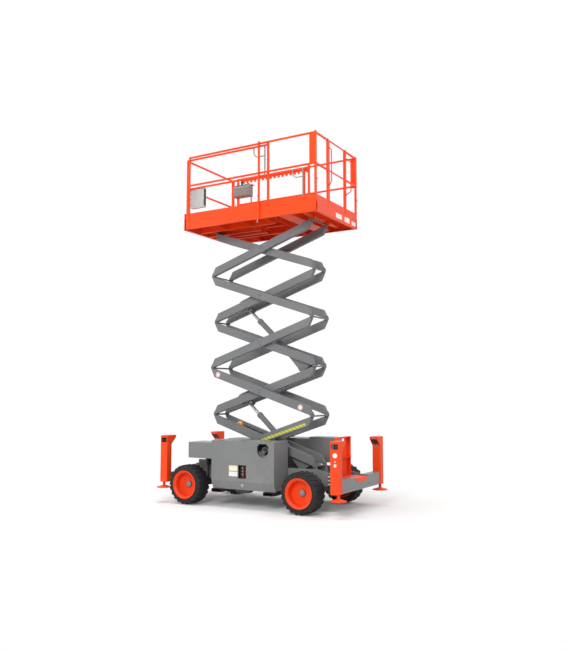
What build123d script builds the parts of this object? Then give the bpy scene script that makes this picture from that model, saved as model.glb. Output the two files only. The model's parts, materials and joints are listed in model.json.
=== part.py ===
from build123d import *
import math
import os

# ---------------------------------------------------------------------------
# Compact rough-terrain scissor lift, raised part of the way.
# Frame: +X is the front, where the deck extension slides out; +Y is the
# machine's left; +Z is up. The origin lies on the ground, under the middle.
# Millimetres and degrees.
# ---------------------------------------------------------------------------

# scissor linkage: pin centres, tubes and the pose it is stored in
ARM_PIN_SPAN = 2150.0          # from a tube's low pin to its high pin
STAGE_STOWED = 140.0           # height of one stage when the stack is down
PIN_TO_TUBE = 5.0              # from a pin's centre to the tube's near edge
LIFT_ANGLE = 22.3              # pin line over horizontal, as stored
LIFT_ANGLE_LOW = 3.82
LIFT_ANGLE_HIGH = 57.4
STAGES = 5
REAR_PIN_X = -955.0
BASE_PIN_Z = 679.0
OUTER_Y = 227.0                # inner faces of the outer and inner tubes
INNER_Y = 132.0
TUBE_WIDTH = 80.0
TUBE_WALL = 6.0
CHAMFER_U = 105.0              # how far the sloped tube end reaches along it
PIN_R = 14.0
BOSS_R = 26.0
NOTCH_R = 33.0
PIVOT_R = 25.0
FIT = 0.06                     # running fit, radial
GAP = 0.2                      # between pieces of one weldment

# hoses and lamp on the lowest inner frame, in its local axes
HOSE_R = 8.0
HOSE_U = (700.0, 1690.0)
HOSE_V = (40.0, 60.0, 80.0)
LAMP_UV = (1785.0, 75.0)

# lift cylinders, in the local axes of the tubes that carry them
BARREL_PIN = (255.0, -110.0)
ROD_EYE = (620.0, 20.0)
BARREL_LENGTH = 1250.0
BARREL_R = 46.0
ROD_R = 25.0
ROD_LENGTH = 1040.0

# running gear
TYRE_R = 330.0
TYRE_WIDTH = 300.0
TYRE_OUTER_Y = 875.0
RIM_R = 228.0
HUB_Y = 712.0
FRONT_AXLE_X = 1176.0
REAR_AXLE_X = -1031.0
KINGPIN_Y = 620.0

# chassis
FRAME_Y = 345.0                # inner face of the side plates
FRAME_T = 14.0
FRAME_END_X = 1560.0
FRAME_Z = (400.0, 655.0)
MODULE_X = (-553.0, 663.0)
MODULE_Y = (362.0, 800.0)
MODULE_Z = (300.0, 1090.0)
SILL_Z = 437.0                 # the side cover slopes inward below this
SILL_Y = 745.0
WALL = 16.0
COVER_T = 24.0
COVER_HINGE = (773.5, 1094.5)  # y and z of the pin line over the cover's top edge
HINGE_R = 4.0
HINGE_X = (-430.0, 30.0, 490.0)
FRONT_BOX = ((668.0, 1160.0), (382.0, 785.0), (779.0, 1042.0))
LOCK_X = 1010.0
POCKET_X = ((-514.0, -322.0), (492.0, 690.0))

# rear step and ladder
STEP_X = (-1700.0, -1560.2)
STEP_Y = 250.0                 # half width of the lower middle part
STEP_Z = (402.0, 530.0, 556.0)
LADDER_X = -1345.0
LADDER_Y = 242.0
LADDER_Z = (530.2, 1160.0)
LADDER_FLANGE = 55.0
LADDER_TREAD_Z = 826.0
LADDER_HOLD_Y = 110.0
LADDER_HOLD_Z = (1088.0, 1130.0)

# outriggers
JACK_X = (1570.0, 1715.0)
JACK_Y = (730.0, 850.0)
JACK_Z = (350.0, 1140.0)
JACK_WALL = 8.0
FLARE = (612.0, 990.0)         # inboard reach of the head, and where it starts
FOOT_R = 125.0
FOOT_X = 1676.0

# platform: a deck on members that straddle the stack, in a folded edge
DECK_X = (-1310.0, 1287.0)
DECK_Y = 770.0
EDGE_Z = (4745.0, 4870.0)      # the channel all round the deck
DECK_Z = 4925.0
TOE_Z = 5022.0
SHEET = 5.0
LIP = 45.0                     # lower flange of the channel
HEM = 12.0                     # upper flange of the toe board
BAR_Y = (317.0, 352.0)         # deep bars, outside the stack
BAR_X = (-290.0, 1281.8)
SPINE_R = 15.0                 # half width of the middle bar
SPINE_Z = (4782.0, 4799.8)      # over the cylinder's eye when the stack is down
OVER_STACK_Z = 4800.0          # what crosses the stack stays above this
CROSS_X = (690.0, 180.0, -300.0)
PAN_X = (-800.0, -560.0)
PAN_Z = (4762.0, 4768.0)
REAR_CROSS_X = (-1000.0, -910.0)
GUSSET_Y = (-520.0, -260.0, 0.0, 260.0, 520.0)
WEB = 10.0
TRACK_X = (140.0, 1262.0)

# guardrails, by centre lines
RAIL_R = 14.0
RAIL_Y = DECK_Y - RAIL_R
TOP_RAIL_Z = 6030.0
MID_RAIL_Z = 5524.0
POST_R = 17.0
REAR_POST_X = DECK_X[0] + POST_R
FRONT_POST = (1230.0, 12.5)    # x and half width
MID_POST_X = -241.0
CORNER_PLATE_X = -1190.0
CORNER_PLATE_Z = (5500.0, 6040.0)
GATE_POST_Y = 330.0
GATE_HINGE_Y = 298.0
GATE_Y = 290.0
GATE_R = 10.0
HINGE_Z = (5120.0, 5920.0)
GRAB_Z = (5270.0, 5890.0)
GRAB_R = 9.0
GRAB_REACH = (75.0, 40.0)      # how far it stands off, back and outward

# sliding extension
EXT_RAIL_Y = 714.0
EXT_RAIL_Z = (5476.0, 6000.0)
EXT_FRONT_Z = (5468.0, 5990.0)
EXT_REAR_X = -378.0
EXT_FRONT_POST = ((1284.0, 1320.0), (672.0, 728.0))
EXT_TRAY_Z = (4931.0, 4937.0)
NOSE_X = (1293.0, 1355.0)      # the channel across its front
NOSE_Y = 740.0
NOSE_Z = (4735.0, 5034.0)
RACK_X = (-360.0, 1129.0)
RACK_Z = (5918.0, 5955.0)      # tips and roots of its teeth
RACK_TEETH = 17
HANDLE_X = (-280.0, -61.0)
HANDLE_Y = 660.0
HANDLE_R = 13.0
HOOK_Z = 5843.0
CONTROL_X = (838.0, 1202.0)
CONTROL_Y = (560.0, 693.8)
CONTROL_Z = (5625.0, 5851.0)
MANUAL_X = (940.0, 1252.0)
MANUAL_Y = (655.0, 699.8)
MANUAL_Z = (5120.0, 5474.0)

PHI = math.degrees(math.asin(STAGE_STOWED / ARM_PIN_SPAN))
SPAN_U = math.sqrt(ARM_PIN_SPAN**2 - STAGE_STOWED**2)
TUBE_ANGLE = LIFT_ANGLE - PHI
STAGE_H = ARM_PIN_SPAN * math.sin(math.radians(LIFT_ANGLE))
STAGE_X = ARM_PIN_SPAN * math.cos(math.radians(LIFT_ANGLE))
FRONT_PIN_X = REAR_PIN_X + STAGE_X
TOP_PIN_Z = BASE_PIN_Z + STAGES * STAGE_H
TUBE_LOW = PIN_TO_TUBE
TUBE_HIGH = STAGE_STOWED - PIN_TO_TUBE
OUTER = (OUTER_Y, OUTER_Y + TUBE_WIDTH)
INNER = (INNER_Y, INNER_Y + TUBE_WIDTH)
SIDES = (1, -1)


# ------------------------------------------------------------- basic shapes
def block(x, y, z):
    """A box from three (low, high) pairs."""
    (x0, x1), (y0, y1), (z0, z1) = sorted(x), sorted(y), sorted(z)
    return Pos((x0 + x1) / 2, (y0 + y1) / 2, (z0 + z1) / 2) * Box(x1 - x0, y1 - y0, z1 - z0)


def slab_y(points, y):
    """A plate: an outline of (x, z) points, from y[0] to y[1]."""
    y0, y1 = sorted(y)
    face = make_face(Polyline(*[(x, y0, z) for x, z in points], close=True))
    return extrude(face, amount=y1 - y0, dir=(0, 1, 0))


def slab_x(points, x):
    """A plate: an outline of (y, z) points, from x[0] to x[1]."""
    x0, x1 = sorted(x)
    face = make_face(Polyline(*[(x0, y, z) for y, z in points], close=True))
    return extrude(face, amount=x1 - x0, dir=(1, 0, 0))


def slab_z(points, z):
    """A plate: an outline of (x, y) points, from z[0] to z[1]."""
    z0, z1 = sorted(z)
    face = make_face(Polyline(*[(x, y, z0) for x, y in points], close=True))
    return extrude(face, amount=z1 - z0, dir=(0, 0, 1))


def rod_y(x, z, r, y):
    y0, y1 = sorted(y)
    return Pos(x, (y0 + y1) / 2, z) * Rot(90, 0, 0) * Cylinder(r, y1 - y0)


def rod_x(y, z, r, x):
    x0, x1 = sorted(x)
    return Pos((x0 + x1) / 2, y, z) * Rot(0, 90, 0) * Cylinder(r, x1 - x0)


def rod_z(x, y, r, z):
    z0, z1 = sorted(z)
    return Pos(x, y, (z0 + z1) / 2) * Cylinder(r, z1 - z0)


def side(s, pair):
    """A (low, high) pair of Y on the left, s = 1, or the right, s = -1."""
    return tuple(sorted((s * pair[0], s * pair[1])))


def turned_y(profile, y, x=0.0, z=0.0):
    """A body of revolution about a line along Y: (radius, y) points."""
    face = make_face(Polyline(*[(r, yy, 0) for r, yy in profile], close=True))
    return Pos(x, y, z) * revolve(face, Axis.Y)


def turned_z(profile, x, y):
    """A body of revolution about a vertical line: (radius, z) points."""
    face = make_face(Polyline(*[(r, 0, z) for r, z in profile], close=True))
    return Pos(x, y, 0) * revolve(face, Axis.Z)


def bent_tube(points, bend, r):
    """A round tube along straight runs joined by bends."""
    path = FilletPolyline(*points, radius=bend)
    return sweep(Plane(origin=path @ 0, z_dir=path % 0) * Circle(r), path=path)


def put(name, *shapes):
    """Writes one node from its solids."""
    solids = []
    for shape in shapes:
        solids += list(shape.solids())
    out = solids[0] if len(solids) == 1 else Compound(children=solids)
    export_step(out, f"parts/{name}.step")


# ------------------------------------------------------------------ scissor
def arm_place(stage, rear_low):
    """The move from a tube's own axes, u along +X from its low pin and v up,
    to the machine. rear_low tubes rise to the front, the others to the rear."""
    z = BASE_PIN_Z + (stage - 1) * STAGE_H
    if rear_low:
        return Pos(REAR_PIN_X, 0, z) * Rot(0, -TUBE_ANGLE, 0)
    return Pos(FRONT_PIN_X, 0, z) * Rot(0, TUBE_ANGLE, 0) * Rot(0, 0, 180)


def local_point(stage, rear_low, uv):
    """Where a point of a tube's own axes lies, as (x, z)."""
    p = arm_place(stage, rear_low) * Pos(uv[0], 0, uv[1])
    return p.position.X, p.position.Z


def cheeks(uv, y, reach):
    """Two round-ended plates with a bore for the pin."""
    out = []
    for near in (8.0, 60.0):
        yy = (y[0] + near, y[0] + near + 12.0)
        plate = rod_y(uv[0], uv[1], BOSS_R, yy) + slab_y(reach, yy)
        out.append(plate - rod_y(uv[0], uv[1], PIN_R + FIT, (yy[0] - 1, yy[1] + 1)))
    return out


def tongue(uv, y, reach):
    """One thick round-ended plate with a bore for the pin."""
    yy = (y[0] + 25.0, y[0] + 55.0)
    plate = rod_y(uv[0], uv[1], BOSS_R, yy) + slab_y(reach, yy)
    return plate - rod_y(uv[0], uv[1], PIN_R + FIT, (yy[0] - 1, yy[1] + 1))


def arm_tube(y, outer):
    """One welded tube in its own axes: sloped ends, a notch round each end
    pin, cheeks at the low end, a tongue at the high end and a sleeve or a
    stub for the middle pivot."""
    low, high = TUBE_LOW, TUBE_HIGH
    outline = [
        (-10, low), (-10, low + 15), (CHAMFER_U, high), (SPAN_U + 10, high),
        (SPAN_U + 10, high - 15), (SPAN_U - CHAMFER_U, low),
    ]
    tube = slab_y(outline, y)
    for uv in ((0, 0), (SPAN_U, STAGE_STOWED)):
        tube -= rod_y(uv[0], uv[1], NOTCH_R, (y[0] - 1, y[1] + 1))
    mid = (SPAN_U / 2, STAGE_STOWED / 2)
    hollow = block(
        (160, SPAN_U - 160), (y[0] + TUBE_WALL, y[1] - TUBE_WALL), (low + TUBE_WALL, high - TUBE_WALL)
    )
    hollow -= rod_y(mid[0], mid[1], PIVOT_R + 14, y)
    tube -= hollow
    low_reach = [(-BOSS_R, 0), (-BOSS_R + 4, 20), (10, 60), (70, 60), (70, 20), (20, -8)]
    high_reach = [(SPAN_U - u, STAGE_STOWED - v) for u, v in low_reach]
    for plate in cheeks((0, 0), y, low_reach):
        tube += plate
    tube += tongue((SPAN_U, STAGE_STOWED), y, high_reach)
    if outer:
        tube -= rod_y(mid[0], mid[1], PIVOT_R + FIT, (y[0] - 1, y[1] + 1))
    else:
        tube += rod_y(mid[0], mid[1], 40, (y[1], OUTER_Y - 0.5))
        tube += rod_y(mid[0], mid[1], PIVOT_R, (y[1], OUTER_Y + TUBE_WIDTH - 3))
    return tube


def mirrored(shape):
    return mirror(shape, about=Plane.XZ)


def end_pin(uv, y_out):
    """The cross tube through both sides' end bosses."""
    return rod_y(uv[0], uv[1], PIN_R, (-y_out, y_out))


def barrel_gussets():
    """Plates that hang under an inner tube and hold a barrel's pin."""
    y = (INNER_Y - 15, INNER_Y)
    u, v = BARREL_PIN
    plate = slab_y([(95, 12), (70, 60), (600, 60), (570, 12), (u + 60, v - 25), (u - 60, v - 25)], y)
    plate += rod_y(u, v, 62, y)
    return plate + rod_y(u, v, 34, (BARREL_R + 12, INNER_Y - 15))


def eye_gussets():
    """Humped plates inside an inner tube, with the stubs of the rod's pin."""
    y = (INNER_Y - 15, INNER_Y)
    u, v = ROD_EYE
    hump = [(440, 30), (440, 120), (500, 140), (560, 178), (640, 188), (860, 188), (960, 140), (1000, 120), (1000, 30)]
    plate = slab_y(hump, y)
    plate += rod_y(u, v, 60, y)
    return plate + rod_y(u, v, 30, (BARREL_R + 11, INNER_Y - 15))


def hoses(place):
    """Three hoses clipped inside the right tube of the lowest inner frame,
    each out of the tube's wall and back into it, and the lamp beyond them."""
    wall, y, (u0, u1) = -INNER_Y + GAP, -INNER_Y + HOSE_R + 5, HOSE_U
    runs = [
        bent_tube([(u0, wall, v), (u0, y, v), (u1, y, v), (u1, wall, v)], HOSE_R + 3, HOSE_R)
        for v in HOSE_V
    ]
    put("hoses", *[place * run for run in runs])
    base, dome = wall, wall + 54
    profile = [(0, base), (60, base), (60, base + 12), (54, base + 14), (50, dome - 20), (34, dome - 6), (0, dome)]
    put("lamp", place * turned_y(profile, 0, LAMP_UV[0], LAMP_UV[1]))


def scissor():
    """Ten frames. Each is one node: two tubes and the pin of its high end."""
    plain_outer = arm_tube(OUTER, True)
    plain_inner = arm_tube(INNER, False)
    for stage in range(1, STAGES + 1):
        for outer in (True, False):
            # outer_1 rises to the rear, outer_2 to the front, and so on
            rear_low = (stage % 2 == 0) == outer
            place = arm_place(stage, rear_low)
            tube = plain_outer if outer else plain_inner
            y_out = (OUTER if outer else INNER)[1] - 2
            parts = []
            if not outer and stage in (1, 3):
                tube = tube + barrel_gussets()
                parts.append(place * rod_y(*BARREL_PIN, 22, (-BARREL_R - 11.8, BARREL_R + 11.8)))
            if not outer and stage == 1:
                hoses(place)
            if not outer and stage in (2, 4):
                tube = tube + eye_gussets()
            pin = end_pin((SPAN_U, STAGE_STOWED), y_out)
            for s in SIDES:
                parts.append(place * (tube if s > 0 else mirrored(tube)))
            parts.append(place * pin)
            if outer and stage == 1:
                # rollers that run in the chassis tracks
                for s in SIDES:
                    shaft = rod_y(0, 0, PIN_R, side(s, (OUTER[0] + 2, 343.0)))
                    parts.append(place * (shaft + rod_y(0, 0, 27, side(s, (OUTER[1] + 3, 340.0)))))
            if not outer and stage == STAGES:
                parts.pop()
                for s in SIDES:
                    shaft = rod_y(SPAN_U, STAGE_STOWED, PIN_R, side(s, (92.0, INNER[1] - 2)))
                    roller = rod_y(SPAN_U, STAGE_STOWED, 27, side(s, (96.0, INNER[0] - 3)))
                    parts.append(place * (shaft + roller))
            put(f"{'outer' if outer else 'inner'}_arms_{stage}", *parts)


def cylinders():
    """Two lift cylinders: barrel on an odd stage, rod eye on the next one."""
    for name, stage in (("lower", 1), ("upper", 3)):
        x0, z0 = local_point(stage, True, BARREL_PIN)
        x1, z1 = local_point(stage + 1, False, ROD_EYE)
        length = math.hypot(x1 - x0, z1 - z0)
        tilt = math.degrees(math.atan2(z1 - z0, x1 - x0))
        place = Pos(x0, 0, z0) * Rot(0, -tilt, 0)
        barrel = rod_x(0, 0, BARREL_R, (48, BARREL_LENGTH)) + rod_y(0, 0, 42, (-32, 32))
        barrel += block((20, 60), (-32, 32), (-32, 32))
        barrel += rod_x(0, 0, BARREL_R + 5, (BARREL_LENGTH - 60, BARREL_LENGTH - 8))
        barrel -= rod_x(0, 0, ROD_R + 0.3, (80, BARREL_LENGTH + 1))
        barrel -= rod_x(0, 0, BARREL_R - 8, (80, BARREL_LENGTH - 70))
        barrel -= rod_y(0, 0, 22 + FIT, (-40, 40))
        put(f"{name}_cylinder_barrel", place * barrel)
        rod = rod_x(0, 0, ROD_R, (length - ROD_LENGTH, length - 30)) + rod_y(length, 0, 38, (-40, 40))
        rod -= rod_y(length, 0, 22, (-41, 41))
        put(f"{name}_cylinder_rod", place * rod)


# ------------------------------------------------------------- running gear
def tyre(x, s):
    y1, w, r = TYRE_OUTER_Y, TYRE_WIDTH, TYRE_R
    bead = RIM_R - 14
    prof = [
        (bead, 26), (bead + 24, 7), (bead + 50, 0), (r - 30, 4), (r, 40), (r, w - 40),
        (r - 30, w - 4), (bead + 50, w), (bead + 24, w - 7), (bead, w - 26),
    ]
    body = turned_y([(a, b) for a, b in prof], y1 - w, x, TYRE_R)
    return body if s > 0 else mirrored(body)


def rim(x, s):
    """A deep dish: outer flange, drum, web at the hub face, inner flange."""
    y0, y1 = TYRE_OUTER_Y - TYRE_WIDTH, TYRE_OUTER_Y
    r, t = RIM_R - 15, 10.0
    hub = HUB_Y
    prof = [
        (0, hub - 12), (0, hub + 34), (34, hub + 34), (46, hub + 26), (46, hub + 4),
        (110, hub + 4), (150, hub + 22), (r - t - 8, hub + 22),
        (r - t - 8, y1 - 30), (RIM_R - 6, y1 - 6), (RIM_R - 6, y1 + 0), (RIM_R + 8, y1 + 0),
        (RIM_R + 8, y1 - 4), (r - 1, y1 - 18), (r - 1, y0 + 18), (RIM_R + 8, y0 + 4), (RIM_R + 8, y0),
        (RIM_R - 6, y0), (r - t - 1, y0 + 22), (r - t - 1, hub + 8), (150, hub + 8), (110, hub - 12),
    ]
    body = turned_y(prof, 0, x, TYRE_R)
    return body if s > 0 else mirrored(body)


def wheels():
    for end, x in (("front", FRONT_AXLE_X), ("rear", REAR_AXLE_X)):
        for hand, s in (("left", 1), ("right", -1)):
            put(f"{end}_{hand}_tyre", tyre(x, s))
            put(f"{end}_{hand}_rim", rim(x, s))


def knuckle(s):
    x, z = FRONT_AXLE_X, TYRE_R
    body = rod_y(x, z, 60, (660, HUB_Y - 13)) + block((x - 34, x + 34), (590, 662), (z - 62, z + 62))
    body += rod_y(x, z, 28, (HUB_Y - 14, HUB_Y - 12.3))
    body += slab_z([(x - 30, 560), (x + 30, 560), (x + 24, 640), (x - 24, 640)], (z - 62, z - 46))
    body += slab_z([(x - 140, 600), (x - 140, 628), (x - 20, 650), (x - 20, 600)], (z - 62, z - 46))
    body -= rod_z(x, KINGPIN_Y, 16 + FIT, (z - 70, z + 70))
    return body if s > 0 else mirrored(body)


def front_axle():
    """A box beam with a forked end round each knuckle and its kingpin."""
    x, z = FRONT_AXLE_X, TYRE_R
    beam = slab_x(
        [(-545, z - 45), (-545, z + 45), (-300, z + 60), (300, z + 60), (545, z + 45), (545, z - 45),
         (300, z - 60), (-300, z - 60)],
        (x - 50, x + 50),
    )
    parts = beam + block((x - 60, x + 60), (-60, 60), (z + 30, FRAME_Z[0] - GAP))
    for s in SIDES:
        for zz in ((z + 68, z + 88), (z - 88, z - 68)):
            parts += block((x - 36, x + 36), side(s, (500, 652)), zz)
        parts += block((x - 50, x + 50), side(s, (500, 545)), (z - 88, z + 88))
        parts += rod_z(x, s * KINGPIN_Y, 16, (z - 92, z + 92))
    return parts


def axles():
    put("front_axle", front_axle())
    x, z = REAR_AXLE_X, TYRE_R
    rear = block((x - 55, x + 55), (-560, 560), (z - 50, z + 50))
    rear += block((x - 80, x + 80), (-300, 300), (z + 40, FRAME_Z[0] - GAP))
    for s in SIDES:
        rear += rod_y(x, z, 105, side(s, (560, 640)))
        rear += rod_y(x, z, 62, side(s, (640, HUB_Y - 12.3)))
    put("rear_axle", rear)
    for hand, s in (("left", 1), ("right", -1)):
        put(f"{hand}_steering_knuckle", knuckle(s))


# ------------------------------------------------------------------ chassis
def main_frame():
    """Side plates, cross members, a belly plate and the lugs that carry the
    scissor's fixed pins."""
    y0, y1 = FRAME_Y, FRAME_Y + FRAME_T
    z0, z1 = FRAME_Z
    outline = [
        (-FRAME_END_X, z0), (-FRAME_END_X, z1 - 120), (-1120, z1), (1290, z1), (FRAME_END_X, z1 - 120),
        (FRAME_END_X, z0),
    ]
    parts = [slab_y(outline, side(s, (y0, y1))) for s in SIDES]
    floor = block((-FRAME_END_X, FRAME_END_X), (-y0 + GAP, y0 - GAP), (z0, z0 + 8))
    for x in ((-1550, -1500), (-20, 20), (860, 900), (1500, 1550)):
        floor += block(x, (-y0 + GAP, y0 - GAP), (z0 + 8, z0 + 60))
    # rear pin lugs: a tongue up to each inner tube's cheeks
    for s in SIDES:
        y = side(s, (INNER[0] + 25, INNER[0] + 55))
        x, z = REAR_PIN_X, BASE_PIN_Z
        lug = slab_y([(x - 110, z0 + 8), (x - BOSS_R, z), (x + BOSS_R, z), (x + 110, z0 + 8)], y)
        lug += rod_y(x, z, BOSS_R, y)
        floor += lug - rod_y(x, z, PIN_R + FIT, y)
    parts.append(floor)
    parts.append(rod_y(REAR_PIN_X, BASE_PIN_Z, PIN_R, (-INNER[1] + 2, INNER[1] - 2)))
    return parts


def tracks():
    """Channels on the side plates for the lower rollers."""
    parts = []
    x = (140.0, 1262.0)
    z, z_top = BASE_PIN_Z, FRAME_Z[1]
    for s in SIDES:
        parts.append(block(x, side(s, (OUTER[1] + 2.6, FRAME_Y - GAP)), (z - 38, z - 28)))
        parts.append(block(x, side(s, (OUTER[1] + 2.6, FRAME_Y + FRAME_T)), (z + 28, z + 38)))
        parts.append(block(x, side(s, (FRAME_Y + 1, FRAME_Y + FRAME_T)), (z_top + GAP, z + 28 - GAP)))
    return parts


def side_module(s, x):
    """A tray of plates with an open outer side, closed by a cover. The ends
    are folded inward below the sill, as the cover is."""
    (y0, y1), (z0, z1) = MODULE_Y, MODULE_Z
    y1 -= COVER_T + 5
    z0 += 12
    foot = SILL_Y - COVER_T - 10
    end = [(y0, z0), (y0, z1), (y1, z1), (y1, SILL_Z), (foot, z0)]
    inside = (x[0] + WALL + GAP, x[1] - WALL - GAP)
    depth = y0 + WALL + GAP
    parts = [
        slab_x([(s * a, b) for a, b in end], (x[0], x[0] + WALL)),
        slab_x([(s * a, b) for a, b in end], (x[1] - WALL, x[1])),
        block(inside, side(s, (y0, y0 + WALL)), (z0, z1)),
        block(inside, side(s, (depth, y1)), (z1 - WALL, z1)),
        block(inside, side(s, (depth, foot)), (z0, z0 + SHEET)),
    ]
    hy, hz = COVER_HINGE
    for hx in HINGE_X:
        knuckle_x = (hx - 60.5, hx - 0.5)
        leaf = block(knuckle_x, side(s, (hy - 18, hy - 0.5)), (z1 + GAP, z1 + 3))
        parts.append(leaf + rod_x(s * hy, hz, HINGE_R, knuckle_x))
    return parts


def side_cover(s):
    """The whole outer side, folded inward at the sill, hung on its top edge."""
    (_, y1), (z0, z1) = MODULE_Y, MODULE_Z
    t = COVER_T
    out = [(y1 - t, z1), (y1, z1 - 6), (y1, SILL_Z), (SILL_Y, z0 + 2), (SILL_Y - t, z0 + 8), (y1 - t, SILL_Z + 6)]
    body = slab_x([(s * a, b) for a, b in out], (MODULE_X[0], MODULE_X[1]))
    hy, hz = COVER_HINGE
    for hx in HINGE_X:
        body += rod_x(s * hy, hz, HINGE_R, (hx, hx + 60))
        body += block((hx, hx + 60), side(s, (hy + 0.5, hy + 18)), (z1 - 4, z1 + 2))
    if s > 0:
        # vent hole, flat at the top and round below
        hx, hz, r = -340.0, 945.0, 106.0
        hole = rod_y(hx, hz, r, (y1 - 60, y1 + 10))
        hole += block((hx - r, hx + r), (y1 - 60, y1 + 10), (hz, hz + 80))
        hole += block((hx - r + 26, hx + r - 26), (y1 - 60, y1 + 10), (hz, hz + 110))
        body -= hole
        body -= block((-26, 131), (y1 - 60, y1 + 10), (489, 703))
    return body


def chassis():
    put("main_frame", *main_frame())
    put("slide_tracks", *tracks())
    put("left_module", *side_module(1, MODULE_X))
    put("right_module", *side_module(-1, MODULE_X))
    for hand, s in (("left", 1), ("right", -1)):
        put(f"{hand}_cover", side_cover(s))
    # engine block inside the right module
    put("engine", block((-420, 360), (-700, -400), (MODULE_Z[0] + 12 + SHEET + GAP, 900)))
    # rear tank cover on the right, over the wheel
    put("tank", block((-1048, MODULE_X[0] - 0.5), (-640, -FRAME_Y - FRAME_T), (700, 1120)))
    (bx, by, bz) = FRONT_BOX
    boxes = []
    for s in SIDES:
        boxes.append(block(bx, side(s, by), bz))
        bracket = (FRAME_Y + FRAME_T + GAP, by[0] - GAP)
        boxes.append(block((720, 1100), side(s, bracket), (580, 900)))
    put("front_boxes", *boxes)
    # struts that lock the front axle's swing
    locks = []
    for s in SIDES:
        locks.append(rod_z(LOCK_X, s * 420, 34, (640, FRONT_BOX[2][0] - GAP)))
        locks.append(rod_z(LOCK_X, s * 420, 15, (420, 640 - GAP)))
    put("axle_locks", *locks)
    pockets = []
    for x0, x1 in POCKET_X:
        for z in ((238, 246), (286, 294)):
            pockets.append(block((x0, x1), (-760, 760), z))
        for x in ((x0, x0 + 8), (x1 - 8, x1)):
            pockets.append(block(x, (-760, 760), (246 + GAP, 286 - GAP)))
    for s in SIDES:
        sill = [(-52, 299.8), (218, 299.8), (196, 256), (-30, 256)]
        pockets.append(slab_y(sill, side(s, (600, 745))))
    put("fork_pockets", *pockets)
    # rear beam, step plate and ladder
    rear_step()
    ladder()
    # ground controls behind the cover's window
    put("ground_controls", block((-40, 150), (MODULE_Y[1] - 120, MODULE_Y[1] - 70), (470, 720)))


def rear_step():
    """The beam between the rear jacks, stepped down in the middle, with the
    plate behind it and a tread whose nosing hangs over the beam."""
    y, (x0, x1) = JACK_Y[0] - GAP, STEP_X
    z0, z1, z2 = STEP_Z
    end = [(STEP_Y + GAP, z0), (STEP_Y + GAP, z2), (y, z2), (y, z0)]
    parts = [slab_x([(s * a, b) for a, b in end], (x0, x1)) for s in SIDES]
    parts.append(block((x0, x1), (-STEP_Y, STEP_Y), (z0, z1)))
    parts.append(block((x0, x0 + 60), (-y, y), (352, z0 - GAP)))
    parts.append(block((x1 + 2 * GAP, -1060), (-FRAME_Y + GAP, FRAME_Y - GAP), (z1 - 8, z1)))
    put("rear_step", *parts)
    w, low = STEP_Y - 8, z1 - 60
    tread = block((x0, LADDER_X - 100), (-w, w), (z1 + GAP, z1 + 4))
    tread += slab_x([(-w, z1 + 4), (w, z1 + 4), (w - 90, low), (90 - w, low)], (x0 - 5, x0 - GAP))
    put("step_tread", tread)


def ladder():
    """A folded panel with two treads and a hand hold, open to the rear."""
    x, y, t = LADDER_X, LADDER_Y, SHEET
    (z0, z1), (h0, h1), hand = LADDER_Z, LADDER_HOLD_Z, LADDER_HOLD_Y
    panel = (x, x + t)
    parts = [
        block(panel, (-y, y), (z0, h0)),
        block(panel, (-y, y), (h1, z1)),
    ]
    for s in SIDES:
        parts.append(block(panel, side(s, (hand, y)), (h0 + GAP, h1 - GAP)))
        parts.append(block((x - LADDER_FLANGE, x - GAP), side(s, (y - t, y)), (z0, z1)))
    inside = (-y + t + GAP, y - t - GAP)
    for z, reach in ((LADDER_TREAD_Z, 70.0), (z1 - t, 70.0), (z0, 95.0)):
        parts.append(block((x - reach, x - GAP), inside, (z, z + t)))
    put("ladder", *parts)


def jacks():
    housings = []
    for ex in (1, -1):
        for s in SIDES:
            x = tuple(ex * v for v in JACK_X)
            y0, y1 = JACK_Y
            fy, fz = FLARE
            z0, z1 = JACK_Z
            out = [(y1, z0), (y1, z1), (fy, z1), (fy, z1 - 40), (y0, fz), (y0, z0)]
            box = slab_x([(s * a, b) for a, b in out], x)
            w = JACK_WALL
            xi = (x[0] + ex * w, x[1] - ex * w)
            box -= block(xi, side(s, (y0 + w, y1 - w)), (z0 - 1, z1 - w))
            box -= block((x[0] + ex * 14, x[1] - ex * 14), side(s, (y1 - 20, y1 + 1)), (1022, 1102))
            # arm to the frame
            housings.append(box)
            body = block((x[0] + ex * 15, x[1] - ex * 15), side(s, (y0 + 15, y1 - 15)), (z0 + 14, 950))
            stem_x, stem_y = ex * FOOT_X, s * 790.0
            foot = turned_z([(0, 250), (FOOT_R, 250), (FOOT_R, 262), (60, 282), (25, 290), (25, 372), (0, 372)], stem_x, stem_y)
            end = "front" if ex > 0 else "rear"
            hand = "left" if s > 0 else "right"
            put(f"{end}_{hand}_jack_leg", body + foot)
    put("jack_housings", *housings)
    # the beam steps forward beside the frame, clear of the steered tyres
    near, y = FRAME_END_X + GAP, JACK_Y[0] - GAP
    middle = [(near, 400), (1612, 520), (1690, 520)]
    middle += [(px, -py) for px, py in reversed(middle)]
    ends = [block((1612, 1690), side(s, (520 + GAP, y)), (402, 500)) for s in SIDES]
    put("front_beam", slab_z(middle, (402, 500)), *ends)


# ----------------------------------------------------------------- platform
def edge_profile(toe):
    """The folded edge as (out, z) points, out from its outer face: a channel
    and, set back by one sheet, a hemmed toe board."""
    t = SHEET
    z0, z1 = EDGE_Z
    outer = [(-LIP, z0), (0, z0), (0, z1), (-t, z1)]
    inner = [(-2 * t, z1 - t), (-t, z1 - t), (-t, z0 + t), (-LIP, z0 + t)]
    if toe:
        top = [(-t, TOE_Z), (-t - HEM, TOE_Z), (-t - HEM, TOE_Z - t), (-2 * t, TOE_Z - t)]
    else:
        top = [(-t, DECK_Z), (-2 * t, DECK_Z)]
    return outer + top + inner


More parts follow.
